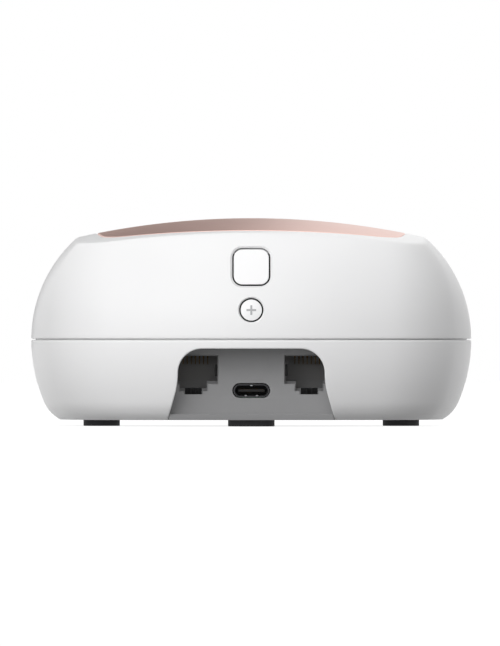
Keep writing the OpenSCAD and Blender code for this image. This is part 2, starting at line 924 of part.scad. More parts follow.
// Eight springs hang from the roof of the mouth and slope down towards the back
module lan_contacts(side) {
    roof = mouth_foot + mouth_h;
    back = jack_y + mouth_d;
    foot = roof - contact_drop;
    color("#b8923f")
    translate([side * jack_x, 0, 0])
        for (i = [0:7])
            translate([(i - 3.5) * contact_pitch - contact_w / 2, 0, 0])
                rotate([90, 0, 90])
                    linear_extrude(contact_w)
                        polygon([
                            [jack_y + contact_start, roof], [jack_y + contact_start + contact_w, roof],
                            [back - contact_flat, foot + contact_t], [back, foot + contact_t],
                            [back, foot], [back - contact_flat, foot]
                        ]);
}

module usb_shell() {
    color("#b9bcc0")
    difference() {
        along_y(panel_y + fit_gap, panel_y + fit_gap + usb_d)
            translate([0, usb_z])
                obround(usb_w, usb_h);
        along_y(panel_y - over, panel_y + usb_d - usb_t)
            translate([0, usb_z])
                obround(usb_w - 2 * usb_t, usb_h - 2 * usb_t);
    }
}

module usb_tongue() {
    front = panel_y + usb_recess;
    back = panel_y + usb_d - usb_t;
    color("#1b1b1d") {
        block([0, (front + back) / 2, usb_z - tongue_t / 2], [tongue_w, back - front, tongue_t]);
        along_y(back - 2 * tongue_t, back)
            translate([0, usb_z])
                obround(usb_w - 2 * usb_t - 2 * play, usb_h - 2 * usb_t - 2 * play);
    }
}

// Chips and other parts that stand on the main board: middle in plan, then size
module on_board(at, size) {
    block([at.x, at.y, board_top], size);
}

// Gaps between the sockets, the transformers and the cans, and from a can's edge to the chips under it
transformer_gap = 1.5;
can_gap = 4.8;
chip_margin = 0.9;
transformer_y = jack_y + jack_d + shield_t + transformer_gap + transformer_size.y / 2;
can_y = transformer_y + transformer_size.y / 2 + can_gap + can_d / 2;
can_x = can_w / 2 + over;
chip_x = can_w / 2 - chip_margin;
power_y = (can_y - sink_d / 2 - board_screw_y + board_boss_dia / 2) / 2;

module lan_transformer(side) {
    color("#222224")
        on_board([side * jack_x, transformer_y], transformer_size);
}

module processor() {
    color("#2a2a2c")
        on_board([-can_x - chip_x + processor_size.x / 2, can_y], processor_size);
}

module memory_chip() {
    color("#2a2a2c")
        on_board([-can_x + chip_x - memory_size.x / 2, can_y], memory_size);
}

module flash_chip() {
    color("#2a2a2c")
        on_board([0, transformer_y], flash_size);
}

module radio_chip() {
    color("#2a2a2c")
        on_board([can_x - chip_x + radio_size.x / 2, can_y], radio_size);
}

module radio_amplifiers() {
    color("#2a2a2c")
    for (i = [-1:1])
        on_board([can_x + chip_x - 2 * amplifier_size.x, can_y + amplifier_pitch * i], amplifier_size);
}

// A folded sheet box, open at the board
module can(side) {
    color("#b9bcc0")
    translate([side * can_x, can_y, board_top])
        difference() {
            block([0, 0, 0], [can_w, can_d, can_h]);
            block([0, 0, -over], [can_w - 2 * can_t, can_d - 2 * can_t, can_h - can_t + over]);
        }
}

module thermal_pads() {
    color("#9aa7b8")
    for (x = [-1, 1])
        block([x * can_x, can_y, board_top + can_h], [can_w - 2 * pad_margin, can_d - 2 * pad_margin, pad_t]);
}

module heat_sink() {
    fin_pitch = (sink_w - fin_t) / (fin_count - 1);
    color("#a9acb0") {
        block([0, can_y, sink_z], [sink_w, sink_d, sink_base_t]);
        for (i = [0:fin_count - 1])
            translate([-sink_w / 2 + i * fin_pitch, can_y - sink_d / 2, sink_z + sink_base_t / 2])
                cube([fin_t, sink_d, sink_base_t / 2 + fin_h]);
    }
}

module power_coil() {
    color("#4b4b4f")
        on_board([board_screw_x, power_y], coil_size);
}

module capacitors() {
    color("#c9ccd0")
    for (i = [0, 1])
        translate([-board_screw_x - (capacitor_dia + capacitor_gap) * i, power_y, board_top])
            cylinder(d = capacitor_dia, h = capacitor_h);
}

module crystal() {
    color("#d0d2d4")
        on_board([0, transformer_y + flash_size.y / 2 + crystal_size.y], crystal_size);
}

// A stamped antenna in X and Z: a strip held up by two legs
module antenna_shape(length, height) {
    translate([-length / 2, height - antenna_strip])
        square([length, antenna_strip]);
    for (x = [0, antenna_feed])
        translate([x - length / 2, 0])
            square([antenna_leg, height - antenna_strip / 2]);
}

module antenna_side(side) {
    color("#c8b27a")
    translate([side * (half_w - board_margin - antenna_margin), 0, board_top])
        rotate(90)
            along_y(-antenna_t / 2, antenna_t / 2)
                antenna_shape(antenna_side_l, antenna_h);
}

module antenna_front(side) {
    color("#c8b27a")
    translate([side * (antenna_front_l / 2 + pillar_dia), led_y + led_side - 2 * antenna_margin, board_top])
        mirror([side > 0 ? 1 : 0, 0, 0])
            along_y(-antenna_t / 2, antenna_t / 2)
                antenna_shape(antenna_front_l, antenna_h - 2 * over);
}

// ---- Status light ----

led_y = half_d - board_margin - led_side - 2 * fit_gap;

module status_led() {
    color("#f4f1dc")
        on_board([0, led_y], [led_side, led_side, led_h]);
}

// A bent rod of clear plastic from the lamp to a small window in the front, trimmed flush with the case
module light_guide() {
    color("#dfe7ea") {
        intersection() {
            rod_y(0, window_z, light_dia, led_y, half_d);
            lower_solid();
        }
        translate([0, led_y, board_top + led_h])
            cylinder(d = light_dia, h = window_z - board_top - led_h);
        translate([0, led_y, window_z])
            sphere(d = light_dia);
    }
}

top_shell();
bottom_shell();
top_plate();
plate_film();
port_panel();
foot(0);  // foot_left
foot(1);  // foot_right
foot(2);  // foot_front
foot(3);  // foot_rear
case_screws();
square_button();
plunger(square_h);  // square_plunger
push_switch(square_h);  // square_switch
round_button();
plunger(round_h);  // round_plunger
push_switch(round_h);  // round_switch
button_board();
button_board_screws();
ribbon_cable();
ribbon_sockets();
main_board();
board_screws();
lan_jack(-1);  // lan_jack_left
lan_jack(1);  // lan_jack_right
lan_shield(-1);  // lan_shield_left
lan_shield(1);  // lan_shield_right
lan_contacts(-1);  // lan_contacts_left
lan_contacts(1);  // lan_contacts_right
usb_shell();
usb_tongue();
lan_transformer(-1);  // lan_transformer_left
lan_transformer(1);  // lan_transformer_right
processor();
memory_chip();
flash_chip();
radio_chip();
radio_amplifiers();
can(-1);  // processor_can
can(1);  // radio_can
thermal_pads();
heat_sink();
power_coil();
capacitors();
crystal();
antenna_side(-1);  // antenna_left
antenna_side(1);  // antenna_right
antenna_front(-1);  // antenna_front_left
antenna_front(1);  // antenna_front_right
status_led();
light_guide();
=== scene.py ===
# %% [markdown]
# # A desktop wireless network point
# The object is a low white case, 110 mm wide, that stands on four rubber feet. A domed rose-gold plate is
# let into its top. The rear has two push buttons and a bay with two network sockets and a power socket. The
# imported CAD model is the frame: its pieces never move, and the dressed pieces made here take their places
# and sizes from it.

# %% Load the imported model
import math

import bmesh
import bpy
import numpy as np
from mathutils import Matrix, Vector
from mathutils.geometry import tessellate_polygon


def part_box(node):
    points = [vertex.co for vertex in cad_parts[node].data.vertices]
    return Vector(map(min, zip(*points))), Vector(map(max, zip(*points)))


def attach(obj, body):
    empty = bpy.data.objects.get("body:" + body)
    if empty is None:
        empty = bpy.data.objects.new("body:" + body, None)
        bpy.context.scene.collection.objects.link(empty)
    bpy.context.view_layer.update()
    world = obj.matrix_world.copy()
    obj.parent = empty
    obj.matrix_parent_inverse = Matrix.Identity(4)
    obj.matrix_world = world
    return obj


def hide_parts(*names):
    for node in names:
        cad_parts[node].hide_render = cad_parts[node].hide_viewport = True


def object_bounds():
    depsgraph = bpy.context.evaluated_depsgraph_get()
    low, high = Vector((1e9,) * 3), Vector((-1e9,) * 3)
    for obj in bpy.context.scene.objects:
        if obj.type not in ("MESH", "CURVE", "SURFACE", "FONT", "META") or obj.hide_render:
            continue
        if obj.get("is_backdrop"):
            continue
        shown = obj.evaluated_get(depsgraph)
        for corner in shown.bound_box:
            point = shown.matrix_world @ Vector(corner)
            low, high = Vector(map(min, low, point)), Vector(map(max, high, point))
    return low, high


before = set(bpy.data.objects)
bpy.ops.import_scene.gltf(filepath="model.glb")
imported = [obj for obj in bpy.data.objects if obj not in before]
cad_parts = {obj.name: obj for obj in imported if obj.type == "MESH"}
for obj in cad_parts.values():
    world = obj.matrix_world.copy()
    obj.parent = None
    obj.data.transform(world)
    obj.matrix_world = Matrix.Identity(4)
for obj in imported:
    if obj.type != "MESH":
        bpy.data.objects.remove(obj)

cad_low, cad_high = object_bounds()
scene = bpy.context.scene
MM = 0.001


# %% [markdown]
# ## Camera
# The object is seen square-on from its rear with a very long lens, so that it has almost no perspective. An
# orthographic camera would have none at all. One that stands 5.6 metres away with a narrow field keeps the
# little that a real lens has. The field is worked out from the height that the frame shows.

# %% Camera
FRAME_HEIGHT = 161.5    # millimetres that the long side of the frame shows at the object
CAMERA_AWAY = 5600.0
CAMERA_SIDE = -0.32
CAMERA_UP = 25.7

camera = bpy.data.objects.new("camera", bpy.data.cameras.new("camera"))
scene.collection.objects.link(camera)
camera.data.sensor_width = 36.0
camera.data.lens = camera.data.sensor_width * CAMERA_AWAY / FRAME_HEIGHT
camera.location = (CAMERA_SIDE * MM, -CAMERA_AWAY * MM, CAMERA_UP * MM)
camera.rotation_euler = (math.radians(90), 0, 0)
scene.camera = camera
print("lens of", round(camera.data.lens), "mm")


# %% [markdown]
# ## Sizes from the frame
# Places come from the boxes of the CAD nodes. Radii, walls and other sizes that a box doesn't tell are
# written here. Lengths are millimetres until a mesh is made, because that is how the object's maker would
# think of them. Only the lamps' sizes and places are metres.

# %% Sizes
def node_box(name):
    """The lowest and highest corner of a CAD node, in millimetres."""
    low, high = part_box(name)
    return np.array(low) / MM, np.array(high) / MM


half_w = cad_high.x / MM
half_d = cad_high.y / MM
crown_z = cad_high.z / MM
floor_z = node_box("bottom_shell")[0][2]
tongue_h = 1.6
belt_z = node_box("bottom_shell")[1][2] - tongue_h

seam_gap = 0.3
seam_bevel = 0.35
seam_high = belt_z + seam_gap / 2
seam_low = belt_z - seam_gap / 2
wall = 2.0
floor_t = 1.5
crown_t = 3.0
dome_r = 200.0
dome_centre = crown_z - dome_r
inner_floor_z = floor_z + floor_t

side_r = end_r = 84.0
corner_r = 30.0
corner_taper = 1.45
side_growth = 8.0
upper_r = 34.0
lower_r = 40.0
edge_r = 9.0
floor_margin = 7.2

plate_high = node_box("top_plate")[1]
plate_side_r = 160.0
plate_end_r = 79.0
plate_corner_r = 11.0
plate_t = 1.2
film_t = 0.2
plate_gap = 0.1
print("case", round(2 * half_w, 1), "x", round(2 * half_d, 1), "x", round(crown_z, 1), "mm")


# %% [markdown]
# ## Tools for surfaces
# A piece could be cut from solid blocks, but cuts leave ragged faces that shade badly. So each piece is a
# sheet of points in rows and columns. Two neighbouring rows are joined by four-sided faces, so a whole
# shell is one array of points that numpy works out at once. The columns run anticlockwise as seen from
# outside and the rows run upwards or inwards, and with that rule every face points out of the solid.

# %% Faces between rows
def grid_faces(rows, columns, closed=True):
    """Quads between neighbouring rows of a grid, as indices; closed joins the last column to the first."""
    i = np.arange(rows - 1)[:, None]
    j = np.arange(columns if closed else columns - 1)[None, :]
    k = (j + 1) % columns
    corners = (i * columns + j, i * columns + k, (i + 1) * columns + k, (i + 1) * columns + j)
    return np.stack(np.broadcast_arrays(*corners), axis=-1)


def net(rows, closed=True, flip=False):
    """A part of a piece: the points of some rows, each an array of (columns, 3), and the quads between
    them."""
    points = np.array(np.broadcast_arrays(*rows), float)
    faces = grid_faces(points.shape[0], points.shape[1], closed).reshape(-1, 4)
    return points.reshape(-1, 3), (faces[:, ::-1] if flip else faces).tolist()


print("faces of a closed strip of 2 rows and 4 columns:", grid_faces(2, 4).reshape(-1, 4).tolist())


# %% Flat faces with holes
def flat_fill(loops, place, facing):
    """Triangles that fill a flat outline with holes. loops are (n, 2) arrays, place turns (n, 2) into (n,
    3), and facing is the direction that the face looks to."""
    flat = np.concatenate(loops)
    triangles = np.array(tessellate_polygon([[Vector((x, y, 0)) for x, y in loop] for loop in loops]))
    points = place(flat)
    a, b, c = (points[triangles[:, k]] for k in range(3))
    wrong = np.cross(b - a, c - a) @ np.array(facing, float) < 0
    triangles[wrong] = triangles[wrong][:, ::-1]
    return points, triangles.tolist()


unit_square = np.array([(0, 0), (1, 0), (1, 1), (0, 1)], float)
square_fill = flat_fill([unit_square], lambda flat: np.column_stack([flat, 0 * flat[:, 0]]), (0, 0, 1))
print("a flat square is filled with", len(square_fill[1]), "triangles")


# %% Make a piece from its parts
made = {}


def make_piece(name, parts, material, body, stands_for=(), sharp=28):
    """One object in metres from parts in millimetres: points that meet are merged, and edges sharper than
    the angle, in degrees, stay crisp in the shading."""
    points, faces, start = [], [], 0
    for part_points, part_faces in parts:
        points.append(part_points)
        faces += [[k + start for k in face] for face in part_faces]
        start += len(part_points)
    mesh = bpy.data.meshes.new(name)
    mesh.from_pydata((np.concatenate(points) * MM).tolist(), [], faces)
    work = bmesh.new()
    work.from_mesh(mesh)
    bmesh.ops.remove_doubles(work, verts=work.verts, dist=0.002 * MM)
    bmesh.ops.dissolve_degenerate(work, edges=work.edges, dist=0.0005 * MM)
    open_edges = sum(not e.is_manifold for e in work.edges)
    volume = work.calc_volume(signed=True) / MM ** 3
    work.to_mesh(mesh)
    work.free()
    mesh.shade_smooth()
    mesh.set_sharp_from_angle(angle=math.radians(sharp))
    mesh.materials.append(material)
    piece = bpy.data.objects.new(name, mesh)
    scene.collection.objects.link(piece)
    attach(piece, body)
    if stands_for:
        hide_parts(*stands_for)
    made[name] = piece
    print(f"{name}: {len(mesh.polygons)} faces, {volume:.1f} mm3, {open_edges} open edges")
    return piece


# %% [markdown]
# ## The plan of the case
# Seen from above, the case is a square with bulging sides: each quarter is three arcs that run into each
# other without a corner. The middle of the corner arc isn't chosen, it follows from the other two, because
# a small circle that touches two large ones inside can only sit in one place. The same rule makes the
# plate's outline.

# %% Columns round the plan
SIDE_COLUMNS, CORNER_COLUMNS, END_COLUMNS = 14, 26, 48
per_quarter = SIDE_COLUMNS + CORNER_COLUMNS + END_COLUMNS
quarter_arc = np.repeat([0, 1, 2], [SIDE_COLUMNS, CORNER_COLUMNS, END_COLUMNS + 1])
quarter_share = np.concatenate([
    np.arange(SIDE_COLUMNS) / SIDE_COLUMNS,
    np.arange(CORNER_COLUMNS) / CORNER_COLUMNS,
    np.arange(END_COLUMNS + 1) / END_COLUMNS,
])
forth = np.arange(per_quarter)
back = np.arange(per_quarter, 0, -1)
column = np.concatenate([forth, back, forth, back])
column_arc = quarter_arc[column]
column_share = quarter_share[column]
column_x = np.repeat([1, -1, -1, 1], per_quarter)
column_y = np.repeat([1, 1, -1, -1], per_quarter)
FRONT, REAR = per_quarter, 3 * per_quarter
print(len(column), "columns round the case")


# %% A point of the plan
def plan(a, b, side, end, corner):
    """Points of an outline with half sizes a and b, for every column. The side arc is centred on the X axis
    and the end arc on the Y axis; the corner arc's centre is at distance side - corner from the first and
    end - corner from the second, and each column lies at its share of its arc's angle."""
    from_side, from_end = side - corner, end - corner
    px, qy = a - side, b - end
    gap = np.hypot(px, qy)
    along = (from_side ** 2 - from_end ** 2 + gap ** 2) / (2 * gap)
    off = np.sqrt(np.maximum(0, from_side ** 2 - along ** 2))
    ux, uy = -px / gap, qy / gap
    cx = px + along * ux - off * uy
    cy = along * uy + off * ux
    first = np.arcsin(cy / from_side)
    second = np.arccos(cx / from_end)
    on_side, on_corner = column_arc == 0, column_arc == 1
    angle = np.where(on_side, column_share * first,
                     np.where(on_corner, first + (second - first) * column_share,
                              second + (math.pi / 2 - second) * column_share))
    radius = np.where(on_side, side, np.where(on_corner, corner, end))
    x = np.where(on_side, px, np.where(on_corner, cx, 0)) + radius * np.cos(angle)
    y = np.where(on_side, 0, np.where(on_corner, cy, qy)) + radius * np.sin(angle)
    return x * column_x, y * column_y


def ring(xy, z):
    """Rows of points from plan coordinates and heights, each made as long as the longest."""
    x, y, z = np.broadcast_arrays(*xy, z)
    return np.stack([x, y, z], axis=-1)


belt_x, belt_y = plan(*(np.array([v]) for v in (half_w, half_d, side_r, end_r, corner_r)))
print("corner to corner the case is", round(2 * np.hypot(belt_x, belt_y).max(), 1), "mm")


# %% [markdown]
# ## The walls of the case
# Seen from the side, both walls are arcs that stand upright at the belt seam. Higher up, the wall leans in,
# its corners tighten and its sides grow flatter. Lower down, a smaller arc carries the wall round to the
# flat underside. A wall at depth t inside its skin is the same arc with a smaller radius.

# %% Walls
def upper_inset(z, t=0.0):
    """How far the upper wall is in from the belt at height z, t inside its skin: radius minus the arc's
    reach."""
    return upper_r - np.sqrt(np.maximum(0, (upper_r - t) ** 2 - (z - belt_z) ** 2))


def upper_wall(z, t=0.0, bevel=0.0):
    """The upper wall at height z as plan coordinates: its half sizes shrink by the inset, its corners by
    the taper times the inset, and its sides' radius grows."""
    skin = upper_inset(z)
    inset = upper_inset(z, t) + bevel
    more = inset - skin
    corner = np.maximum(1.0, corner_r - corner_taper * skin - more)
    return plan(half_w - inset, half_d - inset, side_r + side_growth * skin - more, end_r - more, corner)


def meeting_point(p, r, q, s):
    """The point at distance r from p and s from q, to the left of the line from p to q: so far along the
    line by the law of cosines, and the rest of r square to it."""
    gap = math.hypot(q[0] - p[0], q[1] - p[1])
    along = (r * r - s * s + gap * gap) / (2 * gap)
    off = math.sqrt(r * r - along * along)
    ux, uy = (q[0] - p[0]) / gap, (q[1] - p[1]) / gap
    return p[0] + along * ux - off * uy, p[1] + along * uy + off * ux


edge_inset, edge_z = meeting_point((floor_margin, floor_z), edge_r, (lower_r, belt_z), lower_r - edge_r)
edge_angle = math.atan2(belt_z - edge_z, lower_r - edge_inset)
print("the small arc's middle is", round(edge_z, 2), "mm up and", round(edge_inset, 2), "mm in")


# %% Lower wall
def lower_inset(z, t=0.0):
    """How far the lower wall is in at height z: the large arc above the point where the two arcs meet, the
    small one below it."""
    large = lower_r - np.sqrt(np.maximum(0, (lower_r - t) ** 2 - (z - belt_z) ** 2))
    small = edge_inset - np.sqrt(np.maximum(0, (edge_r - t) ** 2 - (z - edge_z) ** 2))
    return np.where(z > edge_z - (edge_r - t) * math.sin(edge_angle), large, small)


def lower_wall(z, t=0.0, bevel=0.0):
    """The lower wall at height z as plan coordinates: a plain offset of the belt."""
    inset = lower_inset(z, t) + bevel
    return plan(half_w - inset, half_d - inset, side_r - inset, end_r - inset, corner_r - inset / 2)


def belt(t):
    """The belt's outline moved in by t: every half size and radius is that much smaller."""
    return plan(*(np.array([v - t]) for v in (half_w, half_d, side_r, end_r, corner_r)))


def upper_rear(x, z, t=0.0):
    """The rear of the upper wall as Y over X and Z: the end arc of that height, solved for Y."""
    skin = upper_inset(z)
    reach = end_r - (upper_inset(z, t) - skin)
    return end_r + skin - half_d - np.sqrt(reach ** 2 - x ** 2)


def lower_rear(x, z, t=0.0):
    """The rear of the lower wall as Y over X and Z: its end arc, solved for Y."""
    return end_r - half_d - np.sqrt((end_r - lower_inset(z, t)) ** 2 - x ** 2)


def lower_front(x, z, t=0.0):
    """The front of the lower wall: the rear with its sign changed."""
    return -lower_rear(x, z, t)


print("rear wall at the belt:", round(float(lower_rear(0.0, belt_z)), 2), "mm")


# %% Dome
def dome_z(x, y, depth=0.0):
    """Height of the dome over a plan point, or of a sphere that much below it: the centre's height plus the
    root of the radius squared less x and y squared."""
    return dome_centre + np.sqrt((dome_r - depth) ** 2 - x ** 2 - y ** 2)


HALVINGS = 40


def where_wall_meets_dome(t=0.0, depth=0.0):
    """The height, for each column, at which the upper wall reaches the dome. Halving the interval again and
    again finds it for all columns at once."""
    low, high = np.full(len(column), belt_z), np.full(len(column), crown_z)
    for _ in range(HALVINGS):
        middle = (low + high) / 2
        x, y = upper_wall(middle, t)
        under = middle < dome_z(x, y, depth)
        low, high = np.where(under, middle, low), np.where(under, high, middle)
    return low


rim_z = where_wall_meets_dome()
print("rim from", round(rim_z.min(), 2), "to", round(rim_z.max(), 2), "mm high")


# %% [markdown]
# ## Openings in a curved wall
# A hole could be cut by a boolean, but it needs its own edge loop, or its rim looks ragged. So a window of
# faces is left out of the wall, and a patch fills the ring between the window and the hole. Each of its
# columns runs along a ray from the hole's middle, then rolls over the lip, goes down the bore and comes
# back to the inner skin. One sheet closes it all.

# %% Windows in a wall
lip_turn = np.linspace(0, math.pi / 2, 7)
ROUND_LIP = np.stack([1 - np.sin(lip_turn), 1 - np.cos(lip_turn)], axis=-1)
BEVEL_LIP = np.array([[1, 0], [0.94, 0.06], [0.5, 0.75], [0.06, 1.45], [0, 1.6]])


def window_loop(points, upward_rows, first, last, open_foot=False):
    """The border of a window in a grid, anticlockwise from outside; with an open foot it starts at the
    lower right."""
    bottom, top = upward_rows[0], upward_rows[-1]
    right_side = points[upward_rows, last]
    top_side = points[top, last - 1:first:-1]
    left_side = points[upward_rows[::-1], first]
    if open_foot:
        return np.concatenate([right_side, top_side, left_side])
    return np.concatenate([points[bottom, first + 1:last], right_side, top_side, left_side])


def without_window(faces, upward_rows, first, last):
    """Marks the faces of a window for removal with an index of -1."""
    low, high = min(upward_rows), max(upward_rows)
    faces[low:high, first:last] = -1


def on_rays(loop, centre, outline, half_turn=False):
    """The points where rays from centre through a loop's points cross an outline, by reading the outline's
    X and Z over its angle."""
    to_loop, to_line = loop - centre, outline - centre
    angle = np.arctan2(to_loop[:, 1], to_loop[:, 0])
    line_angle = np.arctan2(to_line[:, 1], to_line[:, 0])
    if half_turn:
        angle, line_angle = np.clip(angle, 0, math.pi), np.clip(line_angle, 0, math.pi)
    order = np.argsort(line_angle)
    period = None if half_turn else 2 * math.pi
    crossings = [np.interp(angle, line_angle[order], outline[order, k], period=period) for k in (0, 1)]
    return np.stack(crossings, axis=-1)


print("rows of a lip: rounded", len(ROUND_LIP), "and bevelled", len(BEVEL_LIP))


# %% Rows through an opening
PATCH_ROWS, LINING_ROWS = 9, 5      # from the outer window to the lip, and from the bore to the inner window


def opening(outer, inner, centre, outline, skin, lining, lip, back_y, collar=0.0, inward=1.0, open_foot=None,
            profile=ROUND_LIP):
    """Rows from the outer window to the inner one through a hole. outline(grow, foot) is the hole's edge
    grown by that much; skin and lining give Y over X and Z; the lip follows its profile, in shares of its
    size; the bore ends at back_y, where a collar of that width turns back to the lining. open_foot is
    (outer, inner) foot heights."""
    rows = []
    half_turn = open_foot is not None
    outer_foot, inner_foot = open_foot or (None, None)
    outer_xz, inner_xz = outer[:, [0, 2]], inner[:, [0, 2]]

    def edge(loop, grow, foot):
        """The hole's edge, grown, where rays through the loop's points cross it."""
        middle = np.array(centre if foot is None else (centre[0], foot))
        return on_rays(loop, middle, outline(grow, foot), half_turn)

    def add(xz, y):
        """One more row from X and Z and its depth."""
        rows.append(np.stack([xz[:, 0], y + 0 * xz[:, 0], xz[:, 1]], axis=-1))

    start = edge(outer_xz, lip, outer_foot)
    for share in np.linspace(0, 1, PATCH_ROWS):
        xz = outer_xz + (start - outer_xz) * share
        add(xz, skin(xz[:, 0], xz[:, 1]))
    for grow, sink in profile[1:]:
        xz = edge(outer_xz, lip * grow, outer_foot)
        add(xz, skin(xz[:, 0], xz[:, 1]) + inward * lip * sink)
    mouth, mouth_y = xz, rows[-1][:, 1]
    end_y = lining(mouth[:, 0], mouth[:, 1], wall) if back_y is None else np.full(len(mouth), back_y)
    for share in (0.5, 1.0):
        add(mouth, mouth_y + (end_y - mouth_y) * share)
    bore_rows = len(rows)
    if collar:
        xz = edge(inner_xz, collar, inner_foot)
        add(xz, end_y)
        add(xz, lining(xz[:, 0], xz[:, 1], wall))
    start = rows[-1][:, [0, 2]]
    for share in np.linspace(0, 1, LINING_ROWS)[1:]:
        xz = start + (inner_xz - start) * share
        add(xz, lining(xz[:, 0], xz[:, 1], wall))
    return rows, bore_rows


print("an opening starts with", PATCH_ROWS, "rows and ends with", LINING_ROWS - 1)


# %% Outlines
def circle_outline(x, z, radius, steps=120):
    """A circle: its middle plus the radius times cosine and sine."""
    turn = np.linspace(-math.pi, math.pi, steps, endpoint=False)
    return np.stack([x + radius * np.cos(turn), z + radius * np.sin(turn)], axis=-1)


def rounded_outline(x, z, width, height, corner, steps=24):
    """Four quarter circles whose centres are a rectangle's corners moved in by the corner radius."""
    turn = np.linspace(0, math.pi / 2, steps)[None, :] + np.arange(4)[:, None] * math.pi / 2
    turn = turn.ravel()
    middle_x = x + (width / 2 - corner) * np.repeat([1, -1, -1, 1], steps)
    middle_z = z + (height / 2 - corner) * np.repeat([1, 1, -1, -1], steps)
    return np.stack([middle_x + corner * np.cos(turn), middle_z + corner * np.sin(turn)], axis=-1)


def along_outline(outline, per_mm=3.0):
    """The same closed outline with points at even steps along it, so that straight stretches have points
    too."""
    closed = np.concatenate([outline, outline[:1]])
    length = np.concatenate([[0], np.cumsum(np.linalg.norm(np.diff(closed, axis=0), axis=1))])
    steps = np.linspace(0, length[-1], int(length[-1] * per_mm), endpoint=False)
    return np.stack([np.interp(steps, length, closed[:, k]) for k in (0, 1)], axis=-1)


print("a square of 10 mm has", len(along_outline(rounded_outline(0, 0, 10, 10, 1))), "points")


# %% [markdown]
# ## Materials
# Real plastic is never one flat value. Even a new glossy case has a very fine moulded grain, slight waves
# where the plastic shrank, and a trace of handling that shows only in how sharp its highlights are. Three
# node groups give these effects, and each material places them with its own sizes and strengths. They read
# Object coordinates, in metres, so a grain of one millimetre has a scale of 1000.

# %% Nodes by function
def new_group(name, inputs, outputs):
    """An empty shader node group with named number and colour sockets."""
    group = bpy.data.node_groups.new(name, "ShaderNodeTree")
    for socket, kind, value in inputs:
        made_socket = group.interface.new_socket(socket, in_out="INPUT", socket_type=kind)
        made_socket.default_value = value
    for socket, kind in outputs:
        group.interface.new_socket(socket, in_out="OUTPUT", socket_type=kind)
    start, end = group.nodes.new("NodeGroupInput"), group.nodes.new("NodeGroupOutput")
    return group, start, end


FLOAT, COLOUR = "NodeSocketFloat", "NodeSocketColor"


def math_node(tree, operation, first, second):
    """A Math node; each input is a number or a socket."""
    node = tree.nodes.new("ShaderNodeMath")
    node.operation = operation
    for socket, value in zip(node.inputs, (first, second)):
        if isinstance(value, (int, float)):
            socket.default_value = value
        else:
            tree.links.new(value, socket)
    return node.outputs[0]


def noise_node(tree, scale, detail=2.0, roughness=0.5, stretch=None):
    """A noise texture on Object coordinates, in grains per metre; stretch scales X, Y and Z first."""
    place = tree.nodes.new("ShaderNodeTexCoord").outputs["Object"]
    if stretch:
        mapping = tree.nodes.new("ShaderNodeMapping")
        mapping.inputs["Scale"].default_value = stretch
        tree.links.new(place, mapping.inputs["Vector"])
        place = mapping.outputs["Vector"]
    noise = tree.nodes.new("ShaderNodeTexNoise")
    tree.links.new(place, noise.inputs["Vector"])
    noise.inputs["Detail"].default_value = detail
    noise.inputs["Roughness"].default_value = roughness
    if isinstance(scale, (int, float)):
        noise.inputs["Scale"].default_value = scale
    else:
        tree.links.new(scale, noise.inputs["Scale"])
    return noise.outputs["Fac"]


print("groups have", FLOAT, "and", COLOUR)


# %% Moulded grain
def moulded_grain_group():
    """Height of a moulded surface: a fine grain with broad, faint waves under it."""
    group, start, end = new_group(
        "moulded grain",
        [("Grain Scale", FLOAT, 4000.0), ("Grain", FLOAT, 1.0),
         ("Wave Scale", FLOAT, 60.0), ("Wave", FLOAT, 1.0)],
        [("Height", FLOAT)],
    )
    fine = noise_node(group, start.outputs["Grain Scale"], 3.0, 0.6)
    wave = noise_node(group, start.outputs["Wave Scale"], 1.0)
    fine = math_node(group, "MULTIPLY", fine, start.outputs["Grain"])
    wave = math_node(group, "MULTIPLY", wave, start.outputs["Wave"])
    group.links.new(math_node(group, "ADD", fine, wave), end.inputs["Height"])
    return group


GRAIN = moulded_grain_group()
print("group", GRAIN.name)

# %% Handling
SPECK_SCALE, SPECK_SIZE = 900.0, 0.09       # dust specks per metre, and their size as a share of the gap
PATCH_SCALE, PATCH_ABOVE = 130.0, 0.56      # dusty patches per metre, and the noise above which one lies


def handling_group():
    """Roughness of a handled surface: a plain value, plus soft smudges, plus sparse fine dust."""
    group, start, end = new_group(
        "handling",
        [("Roughness", FLOAT, 0.3), ("Smudge", FLOAT, 0.05),
         ("Dust", FLOAT, 0.1), ("Smudge Scale", FLOAT, 45.0)],
        [("Roughness", FLOAT), ("Dust", FLOAT)],
    )
    smudge = noise_node(group, start.outputs["Smudge Scale"], 4.0, 0.65)
    smudge = math_node(group, "SUBTRACT", smudge, 0.5)
    smudge = math_node(group, "MULTIPLY", smudge, start.outputs["Smudge"])
    cells = group.nodes.new("ShaderNodeTexVoronoi")
    cells.inputs["Scale"].default_value = SPECK_SCALE
    place = group.nodes.new("ShaderNodeTexCoord")
    group.links.new(place.outputs["Object"], cells.inputs["Vector"])
    speck = math_node(group, "LESS_THAN", cells.outputs["Distance"], SPECK_SIZE)
    patchy = math_node(group, "GREATER_THAN", noise_node(group, PATCH_SCALE, 2.0), PATCH_ABOVE)
    dust = math_node(group, "MULTIPLY", math_node(group, "MULTIPLY", speck, patchy), start.outputs["Dust"])
    rough = math_node(group, "ADD", start.outputs["Roughness"], smudge)
    group.links.new(math_node(group, "ADD", rough, dust), end.inputs["Roughness"])
    group.links.new(dust, end.inputs["Dust"])
    return group


HANDLING = handling_group()
print("group", HANDLING.name)


# %% Colour drift
def mix_node(tree, factor, first, second):
    """A Mix node set to colours. Its colour sockets share their names with the number ones, so they are
    picked by kind."""
    node = tree.nodes.new("ShaderNodeMix")
    node.data_type = "RGBA"
    a, b = (socket for socket in node.inputs if socket.type == "RGBA")
    tree.links.new(factor, node.inputs["Factor"])
    tree.links.new(first, a)
    tree.links.new(second, b)
    return next(socket for socket in node.outputs if socket.type == "RGBA")


